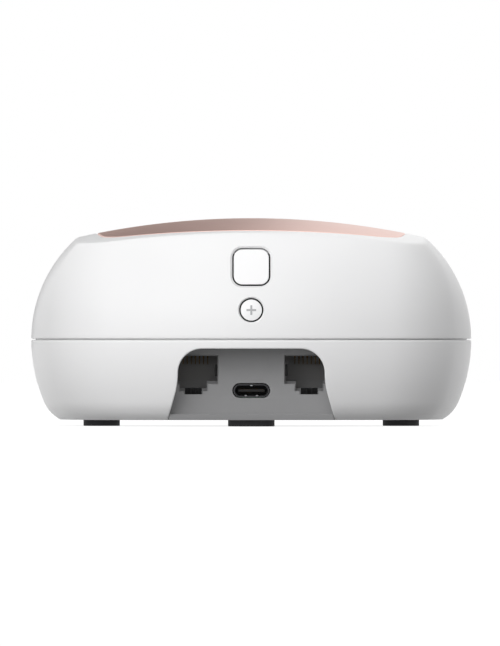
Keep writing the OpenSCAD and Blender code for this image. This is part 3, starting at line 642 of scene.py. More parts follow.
def colour_drift_group():
    """A colour that drifts slightly between two tints over the surface, with fine flecks of a third."""
    group, start, end = new_group(
        "colour drift",
        [("Colour", COLOUR, (0.8, 0.8, 0.8, 1)), ("Tint", COLOUR, (0.7, 0.7, 0.7, 1)),
         ("Drift Scale", FLOAT, 25.0), ("Fleck", COLOUR, (0.6, 0.6, 0.6, 1)),
         ("Fleck Scale", FLOAT, 3000.0), ("Flecks", FLOAT, 0.0)],
        [("Colour", COLOUR)],
    )
    broad = noise_node(group, start.outputs["Drift Scale"], 3.0)
    drifted = mix_node(group, broad, start.outputs["Colour"], start.outputs["Tint"])
    fleck = noise_node(group, start.outputs["Fleck Scale"], 2.0, 0.7)
    fleck = math_node(group, "MULTIPLY", fleck, start.outputs["Flecks"])
    group.links.new(mix_node(group, fleck, drifted, start.outputs["Fleck"]), end.inputs["Colour"])
    return group


DRIFT = colour_drift_group()
print("group", DRIFT.name)


# %% A finish from the groups
def srgb(r, g, b):
    """A linear colour from values of 0 to 255 as a paint card would list them."""
    values = np.array([r, g, b]) / 255
    linear = np.where(values <= 0.04045, values / 12.92, ((values + 0.055) / 1.055) ** 2.4)
    return (*linear.tolist(), 1.0)


DRIFT_SCALE = 25.0
PLASTIC_IOR = 1.5


def finish(name, colour, tint, roughness, metallic=0.0, grain=(4000.0, 0.4), wave=(60.0, 0.0), bump=0.02,
           smudge=0.06, dust=0.05, fleck=None, flecks=(3000.0, 0.0), coat=0.0):
    """A Principled material whose colour drifts, whose roughness shows handling and whose normal has a
    grain. Colours are paint values of 0 to 255, grain, wave and flecks are a scale and a strength, and bump
    is the height of the grain in millimetres."""
    colour, tint, fleck = (srgb(*paint) for paint in (colour, tint, fleck or tint))
    material = bpy.data.materials.new(name)
    material.use_nodes = True
    tree = material.node_tree
    shader = tree.nodes["Principled BSDF"]
    shader.inputs["Metallic"].default_value = metallic
    shader.inputs["IOR"].default_value = PLASTIC_IOR
    shader.inputs["Coat Weight"].default_value = coat
    shader.inputs["Coat Roughness"].default_value = 0.08

    def place(group, **values):
        """A group node with its values set; an underscore stands for the space in a socket's name."""
        node = tree.nodes.new("ShaderNodeGroup")
        node.node_tree = group
        for socket, value in values.items():
            node.inputs[socket.replace("_", " ")].default_value = value
        return node

    drifted = place(DRIFT, Colour=colour, Tint=tint, Drift_Scale=DRIFT_SCALE, Fleck=fleck,
                    Fleck_Scale=flecks[0], Flecks=flecks[1])
    tree.links.new(drifted.outputs["Colour"], shader.inputs["Base Color"])
    handled = place(HANDLING, Roughness=roughness, Smudge=smudge, Dust=dust)
    tree.links.new(handled.outputs["Roughness"], shader.inputs["Roughness"])
    grained = place(GRAIN, Grain_Scale=grain[0], Grain=grain[1], Wave_Scale=wave[0], Wave=wave[1])
    relief = tree.nodes.new("ShaderNodeBump")
    relief.inputs["Strength"].default_value = 1.0
    relief.inputs["Distance"].default_value = bump * MM
    tree.links.new(grained.outputs["Height"], relief.inputs["Height"])
    tree.links.new(relief.outputs["Normal"], shader.inputs["Normal"])
    return material


print("paint 128 is", round(srgb(128, 128, 128)[0], 3), "in linear light")


# %% [markdown]
# ## Finishes
# The shells and buttons are the same glossy white plastic. The plate is painted in a satin rose-gold with
# fine metal flakes. The panel is a grey plastic with a sparked grain, and the sockets are a darker one,
# lifted by painted light for their deep cavities. The buttons' black flanges, a black sheet and a black
# block in each network socket, and the power socket's darkened shell are painted shade. Inside are green
# boards, tin-plated steel, gold contacts, black packages and an aluminium heat sink.

# %% Finishes
white_shell = finish("white_shell", (238, 238, 238), (234, 234, 235), 0.3, grain=(2500.0, 0.35),
                     wave=(45.0, 3.0), bump=0.006, smudge=0.05, dust=0.06)
button_white = finish("button_white", (245, 245, 245), (241, 241, 242), 0.34, grain=(3000.0, 0.4),
                      wave=(90.0, 1.0), bump=0.005, smudge=0.06, dust=0.04)
sign_grey = finish("sign_grey", (176, 176, 178), (170, 170, 172), 0.5, grain=(4000.0, 0.6), bump=0.002)
rose_gold = finish("rose_gold", (248, 216, 207), (244, 210, 200), 0.36, 1.0, grain=(9000.0, 0.9),
                   wave=(30.0, 1.5), bump=0.004, smudge=0.05, dust=0.04, fleck=(226, 184, 172),
                   flecks=(5200.0, 0.6))
panel_grey = finish("panel_grey", (140, 140, 141), (140, 140, 141), 0.55, grain=(5200.0, 1.0), bump=0.02,
                    smudge=0.05, dust=0.05, fleck=(120, 120, 120), flecks=(6000.0, 0.25))
# A mid grey for the network sockets: partly the dark plastic's own tone, partly painted light that lifts
# their deep cavities.
socket_dark = finish("socket_dark", (138, 138, 139), (130, 130, 131), 0.5, grain=(4500.0, 0.8), bump=0.012)
foot_rubber = finish("foot_rubber", (46, 46, 48), (38, 38, 40), 0.72, grain=(3600.0, 1.2), bump=0.03,
                     smudge=0.1, dust=0.1, fleck=(70, 70, 72), flecks=(5000.0, 0.3))
black_epoxy = finish("black_epoxy", (44, 44, 46), (36, 36, 38), 0.6, grain=(6000.0, 1.0), bump=0.02)
# A deep black: the power socket's tongue and its holder are made of it, and in the network sockets it is
# painted shade.
black_and_painted_shade = finish("black_and_painted_shade", (24, 24, 25), (20, 20, 21), 0.7, grain=(5000.0, 0.7), bump=0.01)
# Black plastic for the switches; on the buttons' flanges the black is painted shade that keeps the gaps
# dark.
switch_black = finish("switch_black", (50, 50, 52), (42, 42, 44), 0.45, grain=(5000.0, 0.7), bump=0.01)
board_green = finish("board_green", (34, 110, 72), (26, 96, 62), 0.3, grain=(1500.0, 0.6), bump=0.02,
                     fleck=(60, 140, 96), flecks=(2500.0, 0.3), coat=0.3)
tin_plate = finish("tin_plate", (196, 198, 202), (180, 182, 187), 0.32, 1.0, grain=(1200.0, 0.7), bump=0.01,
                   smudge=0.16, fleck=(150, 152, 158), flecks=(900.0, 0.4))
steel = finish("steel", (190, 191, 193), (170, 171, 174), 0.28, 1.0, grain=(5000.0, 0.7), bump=0.005,
               smudge=0.1)
# The power socket's shell: its dark tone is painted shade that keeps its front edge dim.
nickel_with_painted_shade = finish("nickel_with_painted_shade", (84, 84, 86), (72, 72, 74), 0.2, 1.0, grain=(5000.0, 0.7),
                     bump=0.004, smudge=0.1)
contact_gold = finish("contact_gold", (212, 170, 84), (196, 150, 66), 0.25, 1.0, grain=(6000.0, 0.6),
                      bump=0.004, smudge=0.1)
sink_aluminium = finish("sink_aluminium", (196, 198, 201), (182, 184, 188), 0.4, 1.0, grain=(3000.0, 0.8),
                        bump=0.008, smudge=0.12)
antenna_brass = finish("antenna_brass", (214, 190, 130), (198, 170, 110), 0.3, 1.0, grain=(4000.0, 0.6),
                       bump=0.005, smudge=0.12)
ferrite_grey = finish("ferrite_grey", (86, 86, 90), (72, 72, 76), 0.6, grain=(4200.0, 1.1), bump=0.02)
pad_blue = finish("pad_blue", (150, 166, 186), (136, 152, 174), 0.7, grain=(2500.0, 1.0), bump=0.03)
cable_ivory = finish("cable_ivory", (226, 220, 202), (212, 205, 186), 0.45, grain=(3500.0, 0.7), bump=0.01)
film_clear = finish("film_clear", (228, 228, 218), (214, 214, 204), 0.5, grain=(2500.0, 0.8), bump=0.01)
lamp_resin = finish("lamp_resin", (244, 238, 200), (236, 226, 180), 0.3, grain=(3500.0, 0.5), bump=0.01)
light_plastic = finish("light_plastic", (232, 240, 242), (224, 233, 236), 0.12, grain=(2500.0, 0.4),
                       bump=0.004, dust=0.0)
light_plastic.node_tree.nodes["Principled BSDF"].inputs["Transmission Weight"].default_value = 0.7
print(len(bpy.data.materials), "finishes")


# %% [markdown]
# ## Top shell
# The top shell is one moulding: a wall that leans in, a softly rounded rim, a dome and a shallow pocket for
# the plate. It is made as a single sheet that starts at the pole of its inside, comes down the inner wall,
# turns round the bevelled seam edge, climbs the outer wall, rolls over the rim and ends at the pole of the
# pocket.

# %% Walls of the top shell
WALL_ROWS = 44
SHORT_ROWS = 8          # rows of each dome, of the rim and of the shoulder
rim_round = 0.9         # how far the rim's rounding reaches along the wall and the dome
pocket_edge = 0.5       # rounding of the pocket's edge
tongue_play = 0.25      # room over the bottom shell's tongue
rebate_top = belt_z + tongue_h + tongue_play
rise = np.linspace(0, 1, WALL_ROWS)[:, None]
quarter_turn = np.linspace(0, math.pi / 2, 6)[:, None]


def plate_ring(t):
    """The plate's outline moved in by t: its half sizes and radii are that much smaller."""
    sizes = plate_high[0], plate_high[1], plate_side_r, plate_end_r, plate_corner_r
    return plan(*(np.asarray(v - t, float) for v in sizes))


def shrinking(xy, shares, depth):
    """Rows from a ring to the pole over it, on the sphere at that depth under the dome."""
    x, y = xy[0] * shares, xy[1] * shares
    return ring((x, y), dome_z(x, y, depth))


inner_rim_z = where_wall_meets_dome(wall, crown_t)
inner_dome = shrinking(upper_wall(inner_rim_z, wall), np.linspace(0, 1, SHORT_ROWS)[:, None], crown_t)
z = rebate_top + (inner_rim_z - rebate_top) * rise[::-1]
inner_wall = ring(upper_wall(z, wall), z)
rebate = np.stack([ring(belt(wall / 2), rebate_top), ring(belt(wall / 2), seam_high)])
z = seam_high + seam_bevel * (1 - np.cos(quarter_turn))
bevel = ring(upper_wall(z, 0, seam_bevel * (1 - np.sin(quarter_turn))), z)
rim_foot_z = rim_z - 0.7 * rim_round
z = seam_high + seam_bevel + (rim_foot_z - seam_high - seam_bevel) * rise
outer_wall = ring(upper_wall(z), z)
print("rim rounding starts", round(rim_foot_z.min(), 2), "mm up")

# %% Rim and pocket
rim_x, rim_y = upper_wall(rim_z)
pocket_x, pocket_y = plate_ring(-plate_gap - pocket_edge)
way_x, way_y = pocket_x - rim_x, pocket_y - rim_y
way = np.hypot(way_x, way_y)
over_x, over_y = rim_x + way_x / way * rim_round, rim_y + way_y / way * rim_round
below, corner, over = (
    outer_wall[-1],
    ring((rim_x, rim_y), rim_z),
    ring((over_x, over_y), dome_z(over_x, over_y)),
)
s = np.linspace(0, 1, SHORT_ROWS)[1:, None, None]
rim = (1 - s) ** 2 * below + 2 * s * (1 - s) * corner + s ** 2 * over
s = np.linspace(0, 1, SHORT_ROWS)[1:, None]
x, y = over_x + (pocket_x - over_x) * s, over_y + (pocket_y - over_y) * s
shoulder = ring((x, y), dome_z(x, y))
x, y = plate_ring(-plate_gap - pocket_edge * (1 - np.sin(quarter_turn)))
lip = ring((x, y), dome_z(x, y) - pocket_edge * (1 - np.cos(quarter_turn)))
pocket_depth = plate_t + film_t
pocket = shrinking(plate_ring(-plate_gap), np.linspace(1, 0, SHORT_ROWS)[:, None], pocket_depth)

top_rows = np.concatenate([
    inner_dome, inner_wall[1:], rebate, bevel, outer_wall[1:], rim, shoulder, lip, pocket,
])
inner_upward = len(inner_dome) + WALL_ROWS - 2 - np.arange(WALL_ROWS)
outer_start = len(inner_dome) + WALL_ROWS - 1 + len(rebate) + len(bevel) - 1
outer_upward = outer_start + np.arange(WALL_ROWS)
print("top shell grid:", top_rows.shape[:2])

# %% Button outlines
square_low, square_high = node_box("square_button")
round_low, round_high = node_box("round_button")
flange_w = 0.95
square_side = square_high[0] - square_low[0] - 2 * flange_w
square_z = (square_high[2] + square_low[2]) / 2
square_corner = 2.1
round_dia = round_high[0] - round_low[0] - 2 * flange_w
round_z = (round_high[2] + round_low[2]) / 2
button_gap = 0.37
guide_y = -38.5
guide_wall = 1.2


def square_outline(grow, foot=None):
    """The square opening, grown, at even steps. It has no foot on the floor, so foot goes unread."""
    size = square_side + 2 * (button_gap + grow)
    return along_outline(rounded_outline(0, square_z, size, size, square_corner + button_gap + grow), 8)


def round_outline(grow, foot=None):
    """The round opening, grown. It has no foot on the floor, so foot goes unread."""
    return circle_outline(0, round_z, round_dia / 2 + button_gap + grow)


print("square button", round(square_side, 2), "mm wide, round one", round(round_dia, 2), "mm")


# %% Button openings
def rows_between(points, upward, middle_column, low, high):
    """The rows of a wall whose height at the middle column lies between low and high."""
    heights = points[upward, middle_column, 2]
    return np.flatnonzero((heights > low) & (heights < high))


def cut_opening(points, faces, outer_upward, inner_upward, middle, reach, low, high, **how):
    """Takes a window out of both walls and returns the patch that lines it, with the number of its bore
    rows."""
    span = rows_between(points, outer_upward, middle, low, high)
    outer_rows, inner_rows = outer_upward[span], inner_upward[span]
    first, last = middle - reach, middle + reach
    open_foot = how.get("open_foot") is not None
    outer = window_loop(points, outer_rows, first, last, open_foot)
    inner = window_loop(points, inner_rows, first, last, open_foot)
    without_window(faces, outer_rows, first, last)
    without_window(faces, inner_rows, first, last)
    return opening(outer, inner, **how)


top_faces = grid_faces(*top_rows.shape[:2])
square_lip, round_lip = 0.5, 0.3
SQUARE_REACH, ROUND_REACH = 9, 7        # columns of the windows on either side of the middle
square_window = (-6.0, 6.0)             # how far they reach below and above the buttons' middles
round_window = (-4.4, 4.1)
square_patch, _ = cut_opening(
    top_rows, top_faces, outer_upward, inner_upward, REAR, SQUARE_REACH,
    *(square_z + v for v in square_window),
    centre=(0, square_z), outline=square_outline, skin=upper_rear, lining=upper_rear, lip=square_lip,
    back_y=guide_y, collar=guide_wall, profile=BEVEL_LIP,
)
round_patch, _ = cut_opening(
    top_rows, top_faces, outer_upward, inner_upward, REAR, ROUND_REACH, *(round_z + v for v in round_window),
    centre=(0, round_z), outline=round_outline, skin=upper_rear, lining=upper_rear, lip=round_lip,
    back_y=guide_y, collar=guide_wall, profile=BEVEL_LIP,
)
print("rows through the openings:", len(square_patch), "and", len(round_patch))


# %% [markdown]
# Three screws hold the shells together. A turned post hangs from the dome over each of them and meets a
# post that stands on the floor, and four short bosses carry the board. They don't show from outside, but a
# shell without them couldn't be screwed shut.

# %% Posts inside the shells
post_meet_z = node_box("top_shell")[0][2]
post_r, hanging_post_r, boss_r = 3.75, 3.25, 3.0
head_r, screw_r, pilot_r, board_pilot_r = 2.7, 1.4, 1.25, 0.95
screw_seat, pilot_deep = 6.0, 8.0
crown_root, floor_root = 0.75, 0.2      # how far the posts are sunk in the crown and in the floor
board_underside = node_box("main_board")[0][2]
side_post_x = np.mean(node_box("foot_right"), axis=0)[0]
front_post_y = np.mean(node_box("foot_front"), axis=0)[1]
screw_places = [(side_post_x, 0), (-side_post_x, 0), (0, front_post_y)]
screw_head_r = 1.8
screw_x, screw_y = node_box("board_screws")[1][:2] - screw_head_r
board_places = [(x, y) for x in (-screw_x, screw_x) for y in (-screw_y, screw_y)]


def turned(x, y, profile, steps=32):
    """A closed turned solid round the upright axis at (x, y). The profile's radii and heights run from the
    axis or the bore along the bottom, up the outside and back."""
    turn = np.linspace(0, 2 * math.pi, steps, endpoint=False)
    circle = np.stack([np.cos(turn), np.sin(turn), 0 * turn], axis=-1)
    return net([np.array([x, y, z]) + r * circle for r, z in profile])


def hanging_post(x, y):
    """A post from the height where the posts meet up into the crown, with a blind hole from below."""
    top = dome_z(x, y, crown_t) + crown_root
    bore_z = post_meet_z + pilot_deep
    return turned(x, y, [
        (0, bore_z), (pilot_r, bore_z), (pilot_r, post_meet_z),
        (hanging_post_r, post_meet_z), (hanging_post_r, top), (0, top),
    ])


def standing_post(x, y):
    """A post from the floor to the same height, bored right through, wide for the head up to the screw's
    seat."""
    low, seat_z = inner_floor_z - floor_root, post_meet_z - screw_seat
    return turned(x, y, [
        (head_r, low), (post_r, low), (post_r, post_meet_z), (screw_r, post_meet_z),
        (screw_r, seat_z), (head_r, seat_z), (head_r, low),
    ])


def board_boss(x, y):
    """A short post from the floor to the board's underside, with a blind hole from above."""
    low = inner_floor_z - floor_root
    return turned(x, y, [
        (0, low), (boss_r, low), (boss_r, board_underside),
        (board_pilot_r, board_underside), (board_pilot_r, inner_floor_z), (0, inner_floor_z),
    ])


print("posts at", np.round(screw_places, 1).tolist(), "bosses at", np.round(board_places, 1).tolist())

# %% Top shell
faces = top_faces.reshape(-1, 4)
top_parts = [
    (top_rows.reshape(-1, 3), faces[faces[:, 0] >= 0].tolist()),
    net(square_patch),
    net(round_patch),
]
top_parts += [hanging_post(x, y) for x, y in screw_places]
make_piece("top_shell_moulding", top_parts, white_shell, "root", ["top_shell"])


# %% [markdown]
# ## Bottom shell
# The bottom shell is again one sheet: it goes up the outer wall, over the bevelled seam edge, round the
# tongue that lines the two shells up, and down the inner wall. The two floors are flat faces with holes.
# The bay's opening starts at the underside, so its window is open at the foot, and the panel's slot in the
# floor joins both of its sides.

# %% Rows of the bottom shell
LOWER_ROWS = 60
tongue_out, tongue_in = 1.1, 1.9
climb = np.linspace(0, 1, LOWER_ROWS)[:, None]
tongue_foot = 0.05      # how far under the seam the tongue's inner face ends
wall_top = seam_low - tongue_foot

z = floor_z + (seam_low - seam_bevel - floor_z) * climb
outer_wall = ring(lower_wall(z), z)
z = seam_low - seam_bevel * (1 - np.sin(quarter_turn))
bevel = ring(lower_wall(z, 0, seam_bevel * (1 - np.cos(quarter_turn))), z)
tongue = np.stack([
    ring(belt(tongue_out), seam_low),
    ring(belt(tongue_out), belt_z + tongue_h),
    ring(belt(tongue_in), belt_z + tongue_h),
    ring(belt(tongue_in), wall_top),
])
z = inner_floor_z + (wall_top - inner_floor_z) * climb[::-1]
inner_wall = ring(lower_wall(z, wall), z)
bottom_rows = np.concatenate([outer_wall, bevel[1:], tongue, inner_wall])
lower_outer = np.arange(LOWER_ROWS)
lower_inner = len(bottom_rows) - 1 - np.arange(LOWER_ROWS)
print("bottom shell grid:", bottom_rows.shape[:2])

# %% Bay outline
panel_high = node_box("port_panel")[1]
panel_t = 1.8
panel_y = panel_high[1] - panel_t
panel_back = panel_high[1]
fit_gap = 0.1
bay_w = 36.4
bay_top = floor_z + 17.7
bay_corner_r = 6.0
bay_flare_r = 20.0
bay_flare = math.radians(16)
bay_wall = 1.5
bay_turn_z = bay_top - bay_corner_r
BAY_POINTS = 500


def bay_foot_half(grow, foot):
    """Half the bay's width at the height of its foot: half the width higher up, plus the run of the flare's
    curve, plus the drop below it times the tangent of its slope."""
    run = bay_flare_r * (1 - math.cos(bay_flare))
    flare_z = bay_turn_z - bay_flare_r * math.sin(bay_flare)
    return bay_w / 2 + run + (flare_z - foot) * math.tan(bay_flare) + grow / math.cos(bay_flare)


def bay_outline(grow, foot):
    """The bay's edge from its right foot over the top to its left foot: a straight foot, the flare's arc
    and the corner's arc, mirrored, and read at even steps along it."""
    turn = np.linspace(bay_flare, 0, 20)
    reach = bay_flare_r - grow
    flare_x = bay_w / 2 + bay_flare_r - reach * np.cos(turn)
    flare = np.stack([flare_x, bay_turn_z - reach * np.sin(turn)], axis=-1)
    turn = np.linspace(0, math.pi / 2, 30)
    reach = bay_corner_r + grow
    curve_x = bay_w / 2 - bay_corner_r + reach * np.cos(turn)
    curve = np.stack([curve_x, bay_turn_z + reach * np.sin(turn)], axis=-1)
    right = np.concatenate([[[bay_foot_half(grow, foot), foot]], flare, curve[1:]])
    left = right[::-1] * (-1, 1)
    whole = np.concatenate([right, left])
    length = np.concatenate([[0], np.cumsum(np.linalg.norm(np.diff(whole, axis=0), axis=1))])
    steps = np.linspace(0, length[-1], BAY_POINTS)
    return np.stack([np.interp(steps, length, whole[:, k]) for k in (0, 1)], axis=-1)


print("bay", round(2 * bay_foot_half(0, floor_z), 1), "mm wide at its foot and", bay_w, "mm higher up")


# %% Bay and light openings
BAY_REACH, LIGHT_REACH = 39, 3
bay_lip, light_lip = 0.35, 0.15
bay_window_top = 20.8
light_window = 2.0
bottom_faces = grid_faces(*bottom_rows.shape[:2])
bay_patch, bay_bore = cut_opening(
    bottom_rows, bottom_faces, lower_outer, lower_inner, REAR, BAY_REACH, 0, bay_window_top,
    centre=(0, floor_z), outline=bay_outline, skin=lower_rear, lining=lower_rear, lip=bay_lip,
    back_y=panel_y, collar=bay_wall, open_foot=(floor_z, inner_floor_z),
)
window_z = floor_z + 13.4
light_r = 1.25


def light_outline(grow, foot=None):
    """The light guide's hole, grown. It has no foot on the floor, so foot goes unread."""
    return circle_outline(0, window_z, light_r + grow)


light_patch, _ = cut_opening(
    bottom_rows, bottom_faces, lower_outer, lower_inner, FRONT, LIGHT_REACH,
    window_z - light_window, window_z + light_window,
    centre=(0, window_z), outline=light_outline, skin=lower_front, lining=lower_front, lip=light_lip,
    back_y=None, inward=-1,
)
print("rows through the bay:", len(bay_patch), "of which", bay_bore, "reach the panel")


# %% Outline of the floor
def obround_loop(x, y, length, width, along_y=False, steps=12):
    """A slot with round ends, anticlockwise: a half circle at one end and the same with its signs changed
    at the other."""
    turn = np.linspace(-math.pi / 2, math.pi / 2, steps)
    reach = (length - width) / 2
    end = np.stack([reach + width / 2 * np.cos(turn), width / 2 * np.sin(turn)], axis=-1)
    loop = np.concatenate([end, -end])
    return (loop[:, ::-1] * (-1, 1) if along_y else loop) + (x, y)


def at_height(z):
    """Turns an outline in X and Y into points at that height."""
    return lambda flat: np.column_stack([flat, np.full(len(flat), z)])


slot_low = bay_foot_half(bay_wall, floor_z)
slot_high = bay_foot_half(bay_wall, inner_floor_z)
slot_back = panel_back + fit_gap
outside = (REAR + BAY_REACH + np.arange(len(column) - 2 * BAY_REACH + 1)) % len(column)
patch_grid = np.array(bay_patch)
outer_strip, inner_strip = patch_grid[:bay_bore], patch_grid[bay_bore:][::-1]


def floor_outline(ring_row, strip, half):
    """The floor's edge: round the case, in along the bay's left foot, round the panel's slot, out at the
    right."""
    slot = np.array([[-half, panel_y], [-half, slot_back], [half, slot_back], [half, panel_y]])
    left, right = strip[1:, -1, :2], strip[::-1][:-1, 0, :2]
    return np.concatenate([ring_row[outside, :2], left, slot, right])


print("panel's slot", round(2 * slot_low, 2), "mm wide below and", round(2 * slot_high, 2), "mm above")

# %% Pockets and slots in the floor
foot_l, foot_w, foot_pocket = 11.6, 9.1, 0.5
feet_at = {}
for name in ("foot_left", "foot_right", "foot_front", "foot_rear"):
    low, high = node_box(name)
    feet_at[name] = (*((low + high) / 2)[:2], high[1] - low[1] > high[0] - low[0])
foot_play = 0.1
foot_loops = [
    obround_loop(x, y, foot_l + foot_play, foot_w + foot_play, along_y, 20)
    for x, y, along_y in feet_at.values()
]

SLOTS = 9
slot_pitch, slot_l, slot_w, slot_lip = 4.4, 18.0, 1.8, 0.2
slot_middles = (np.arange(SLOTS) - (SLOTS - 1) / 2) * slot_pitch


def slot_rows(x):
    """A slot through the floor: its lip shrinks over a quarter circle, then it goes straight up."""
    levels = []
    for turn in np.linspace(0, math.pi / 2, 5):
        levels.append((slot_lip * (1 - math.sin(turn)), floor_z + slot_lip * (1 - math.cos(turn))))
    levels.append((0, inner_floor_z))
    return [
        at_height(z)(obround_loop(x, 0, slot_l + 2 * grow, slot_w + 2 * grow, True)) for grow, z in levels
    ]


air_nets = [slot_rows(x) for x in slot_middles]
outer_loops = [floor_outline(bottom_rows[0], outer_strip, slot_low)] + foot_loops
outer_loops += [rows[0][:, :2] for rows in air_nets]
inner_loops = [floor_outline(bottom_rows[-1], inner_strip, slot_high)]
inner_loops += [rows[-1][:, :2] for rows in air_nets]
pocket_top = floor_z + foot_pocket
slot_path = np.array([
    [-bay_foot_half(0, floor_z), panel_y], [-slot_low, panel_y], [-slot_low, slot_back],
    [slot_low, slot_back], [slot_low, panel_y], [bay_foot_half(0, floor_z), panel_y],
])
slot_path_high = np.array([
    [-slot_high, panel_y], [-slot_high, panel_y], [-slot_high, slot_back],
    [slot_high, slot_back], [slot_high, panel_y], [slot_high, panel_y],
])
print(len(outer_loops), "outlines in the underside and", len(inner_loops), "in the inner floor")

# %% Bottom shell
pocket_roof = at_height(pocket_top)
faces = bottom_faces.reshape(-1, 4)
bottom_parts = [
    (bottom_rows.reshape(-1, 3), faces[faces[:, 0] >= 0].tolist()),
    net(bay_patch, closed=False),
    net(light_patch),
    flat_fill(outer_loops, at_height(floor_z), (0, 0, -1)),
    flat_fill(inner_loops, at_height(inner_floor_z), (0, 0, 1)),
    net([at_height(floor_z)(slot_path), at_height(inner_floor_z)(slot_path_high)], closed=False),
]
bottom_parts += [net(rows, flip=True) for rows in air_nets]
bottom_parts += [net([at_height(floor_z)(loop), pocket_roof(loop)], flip=True) for loop in foot_loops]
bottom_parts += [flat_fill([loop], pocket_roof, (0, 0, -1)) for loop in foot_loops]
bottom_parts += [standing_post(x, y) for x, y in screw_places]
bottom_parts += [board_boss(x, y) for x, y in board_places]
make_piece("bottom_shell_moulding", bottom_parts, white_shell, "root", ["bottom_shell"])


# %% [markdown]
# ## Plate
# The plate is a painted panel that follows the dome. A flat sheet could be bent over it, but a point of a
# sphere is worked out just as easily, so the plate's outline shrinks towards a pole on the dome itself. Its
# edge is rounded off, which catches the light along the rear as a thin bright line.

# %% Plate
EDGE_ROUND = 0.4


def plate_rows():
    """From the pole of the underside out to the edge, up a quarter circle and back over the dome to its
    pole."""
    rows = [shrinking(plate_ring(0), np.linspace(0, 1, 6)[:, None], plate_t)]
    for turn in np.linspace(0, math.pi / 2, 7):
        x, y = plate_ring(np.array([EDGE_ROUND * (1 - math.cos(turn))]))
        rows.append(ring((x, y), dome_z(x, y) - EDGE_ROUND * (1 - math.sin(turn)))[None])
    x, y = plate_ring(np.array([EDGE_ROUND]))
    shares = np.linspace(1, 0, 40)[1:, None]
    rows.append(shrinking((x, y), shares, 0))
    return np.concatenate(rows)


make_piece("top_plate_face", [net(plate_rows())], rose_gold, "root", ["top_plate"])


# %% [markdown]
# ## Buttons
# A button is a moulded cap that slides in its guide: a face that follows the case, an edge with a small
# radius, straight sides, and a flange behind the guide that keeps it in. The flange is black, which is
# painted shade that keeps the gap round the cap dark. All rows of the cap are the same outline, grown or
# shrunk along rays from its middle, so the columns stay in line.

# %% Cap and flange
def at_depth(y):
    """Turns an outline in X and Z into points at that Y."""
    return lambda flat: np.column_stack([flat[:, 0], y + 0 * flat[:, 0], flat[:, 1]])


flange_y = guide_y + 0.05
flange_t, flange_edge = 1.0, 0.1
plunger_y = flange_y + flange_t
cap_back = flange_y + flange_t / 2
cap_edge = 0.16
CAP_COLUMNS = 144


def cap(z, outline, crown):
    """Rows of a cap, from the middle of its face to the middle of its back. crown is how far the face falls
    back from the case's curve towards its edge, growing with the square of the distance."""
    turn = np.linspace(-math.pi, math.pi, CAP_COLUMNS, endpoint=False)
    guide = np.stack([np.cos(turn), z + np.sin(turn)], axis=-1)
    centre = np.array([0, z])

    def edge(grow):
        """The cap's outline, grown, along the rays of the columns."""
        return on_rays(guide, centre, outline(grow))

    def face_y(xz, share):
        """The case's own depth there, plus the crown times the square of the share."""
        return upper_rear(xz[:, 0], xz[:, 1]) + crown * share ** 2

    rim_line = edge(-cap_edge)
    rows = []
    for share in np.linspace(0, 1, 12):
        xz = centre + (rim_line - centre) * share
        rows.append(at_depth(face_y(xz, share))(xz))
    for edge_turn in np.linspace(0, math.pi / 2, 7)[1:]:
        xz = edge(-cap_edge * (1 - math.sin(edge_turn)))
        rows.append(at_depth(face_y(xz, 1) + cap_edge * (1 - math.cos(edge_turn)))(xz))
    back_line = edge(0)
    return rows + [at_depth(cap_back)(back_line), at_depth(cap_back)(centre + 0 * back_line)]


def flange(z, outline):
    """Rows of the plate behind a cap: the cap's outline grown by the flange's width, closed by a pole in
    front and behind. Every row is read at as many points as the widest has."""
    wide, middle = outline(flange_w), np.array([[0, z]])
    rows = [
        at_depth(flange_y)(middle), at_depth(flange_y)(outline(flange_w - flange_edge)),
        at_depth(flange_y + flange_edge)(wide), at_depth(plunger_y)(wide), at_depth(plunger_y)(middle),
    ]
    return [row[np.linspace(0, len(row) - 1, len(wide)).astype(int)] for row in rows]


print("caps go back to", round(cap_back, 2), "mm and flanges to", round(plunger_y, 2), "mm")


# %% Both buttons
def square_cap_outline(grow):
    """The square cap's outline, grown, at even steps."""
    side = square_side + 2 * grow
    return along_outline(rounded_outline(0, square_z, side, side, square_corner + grow), 12)


def round_cap_outline(grow):
    """The round cap's outline, grown."""
    return circle_outline(0, round_z, round_dia / 2 + grow, 240)


round_crown = 0.3
# The caps are white; the black of the flanges is painted shade that keeps the gaps round the caps dark.
make_piece("square_button_cap", [net(cap(square_z, square_cap_outline, 0.0), flip=True)], button_white,
           "square_button", ["square_button"])
make_piece("square_button_flange", [net(flange(square_z, square_cap_outline), flip=True)], switch_black,
           "square_button")
make_piece("round_button_cap", [net(cap(round_z, round_cap_outline, round_crown), flip=True)], button_white,
           "round_button", ["round_button"])
make_piece("round_button_flange", [net(flange(round_z, round_cap_outline), flip=True)], switch_black,
           "round_button")


# %% [markdown]
# The round button carries a small printed sign, here a plain plus. It is ink, so it is a film a few
# hundredths of a millimetre thick that follows the cap's face. An image could paint it, but a real film of
# ink stays sharp at any distance.

# %% Printed sign
sign_reach, sign_half = 1.2, 0.25
ink = 0.015


def sign_bar(along_x, start, end):
    """A bar of the plus, a closed strip on the cap's face. s runs along the bar, and each column is one
    edge of the strip: the lower front, the upper front, the upper back and the lower back."""
    s = np.linspace(start, end, 9)
    rows = []
    for side, raised in ((-1, 1), (1, 1), (1, -1), (-1, -1)):
        across = np.full(len(s), side * sign_half)
        x, z = (s, across) if along_x else (-across, s)
        share = np.hypot(x, z) / (round_dia / 2 - cap_edge)
        y = upper_rear(x, round_z + z) + round_crown * share ** 2 - ink * raised
        rows.append(np.stack([x, y, round_z + z], axis=-1))
    points = np.stack(rows)
    middle = points.mean(axis=0)
    columns = np.concatenate([middle[None, :1].repeat(4, 0), points, middle[None, -1:].repeat(4, 0)], axis=1)
    return net(columns.transpose(1, 0, 2), flip=True)


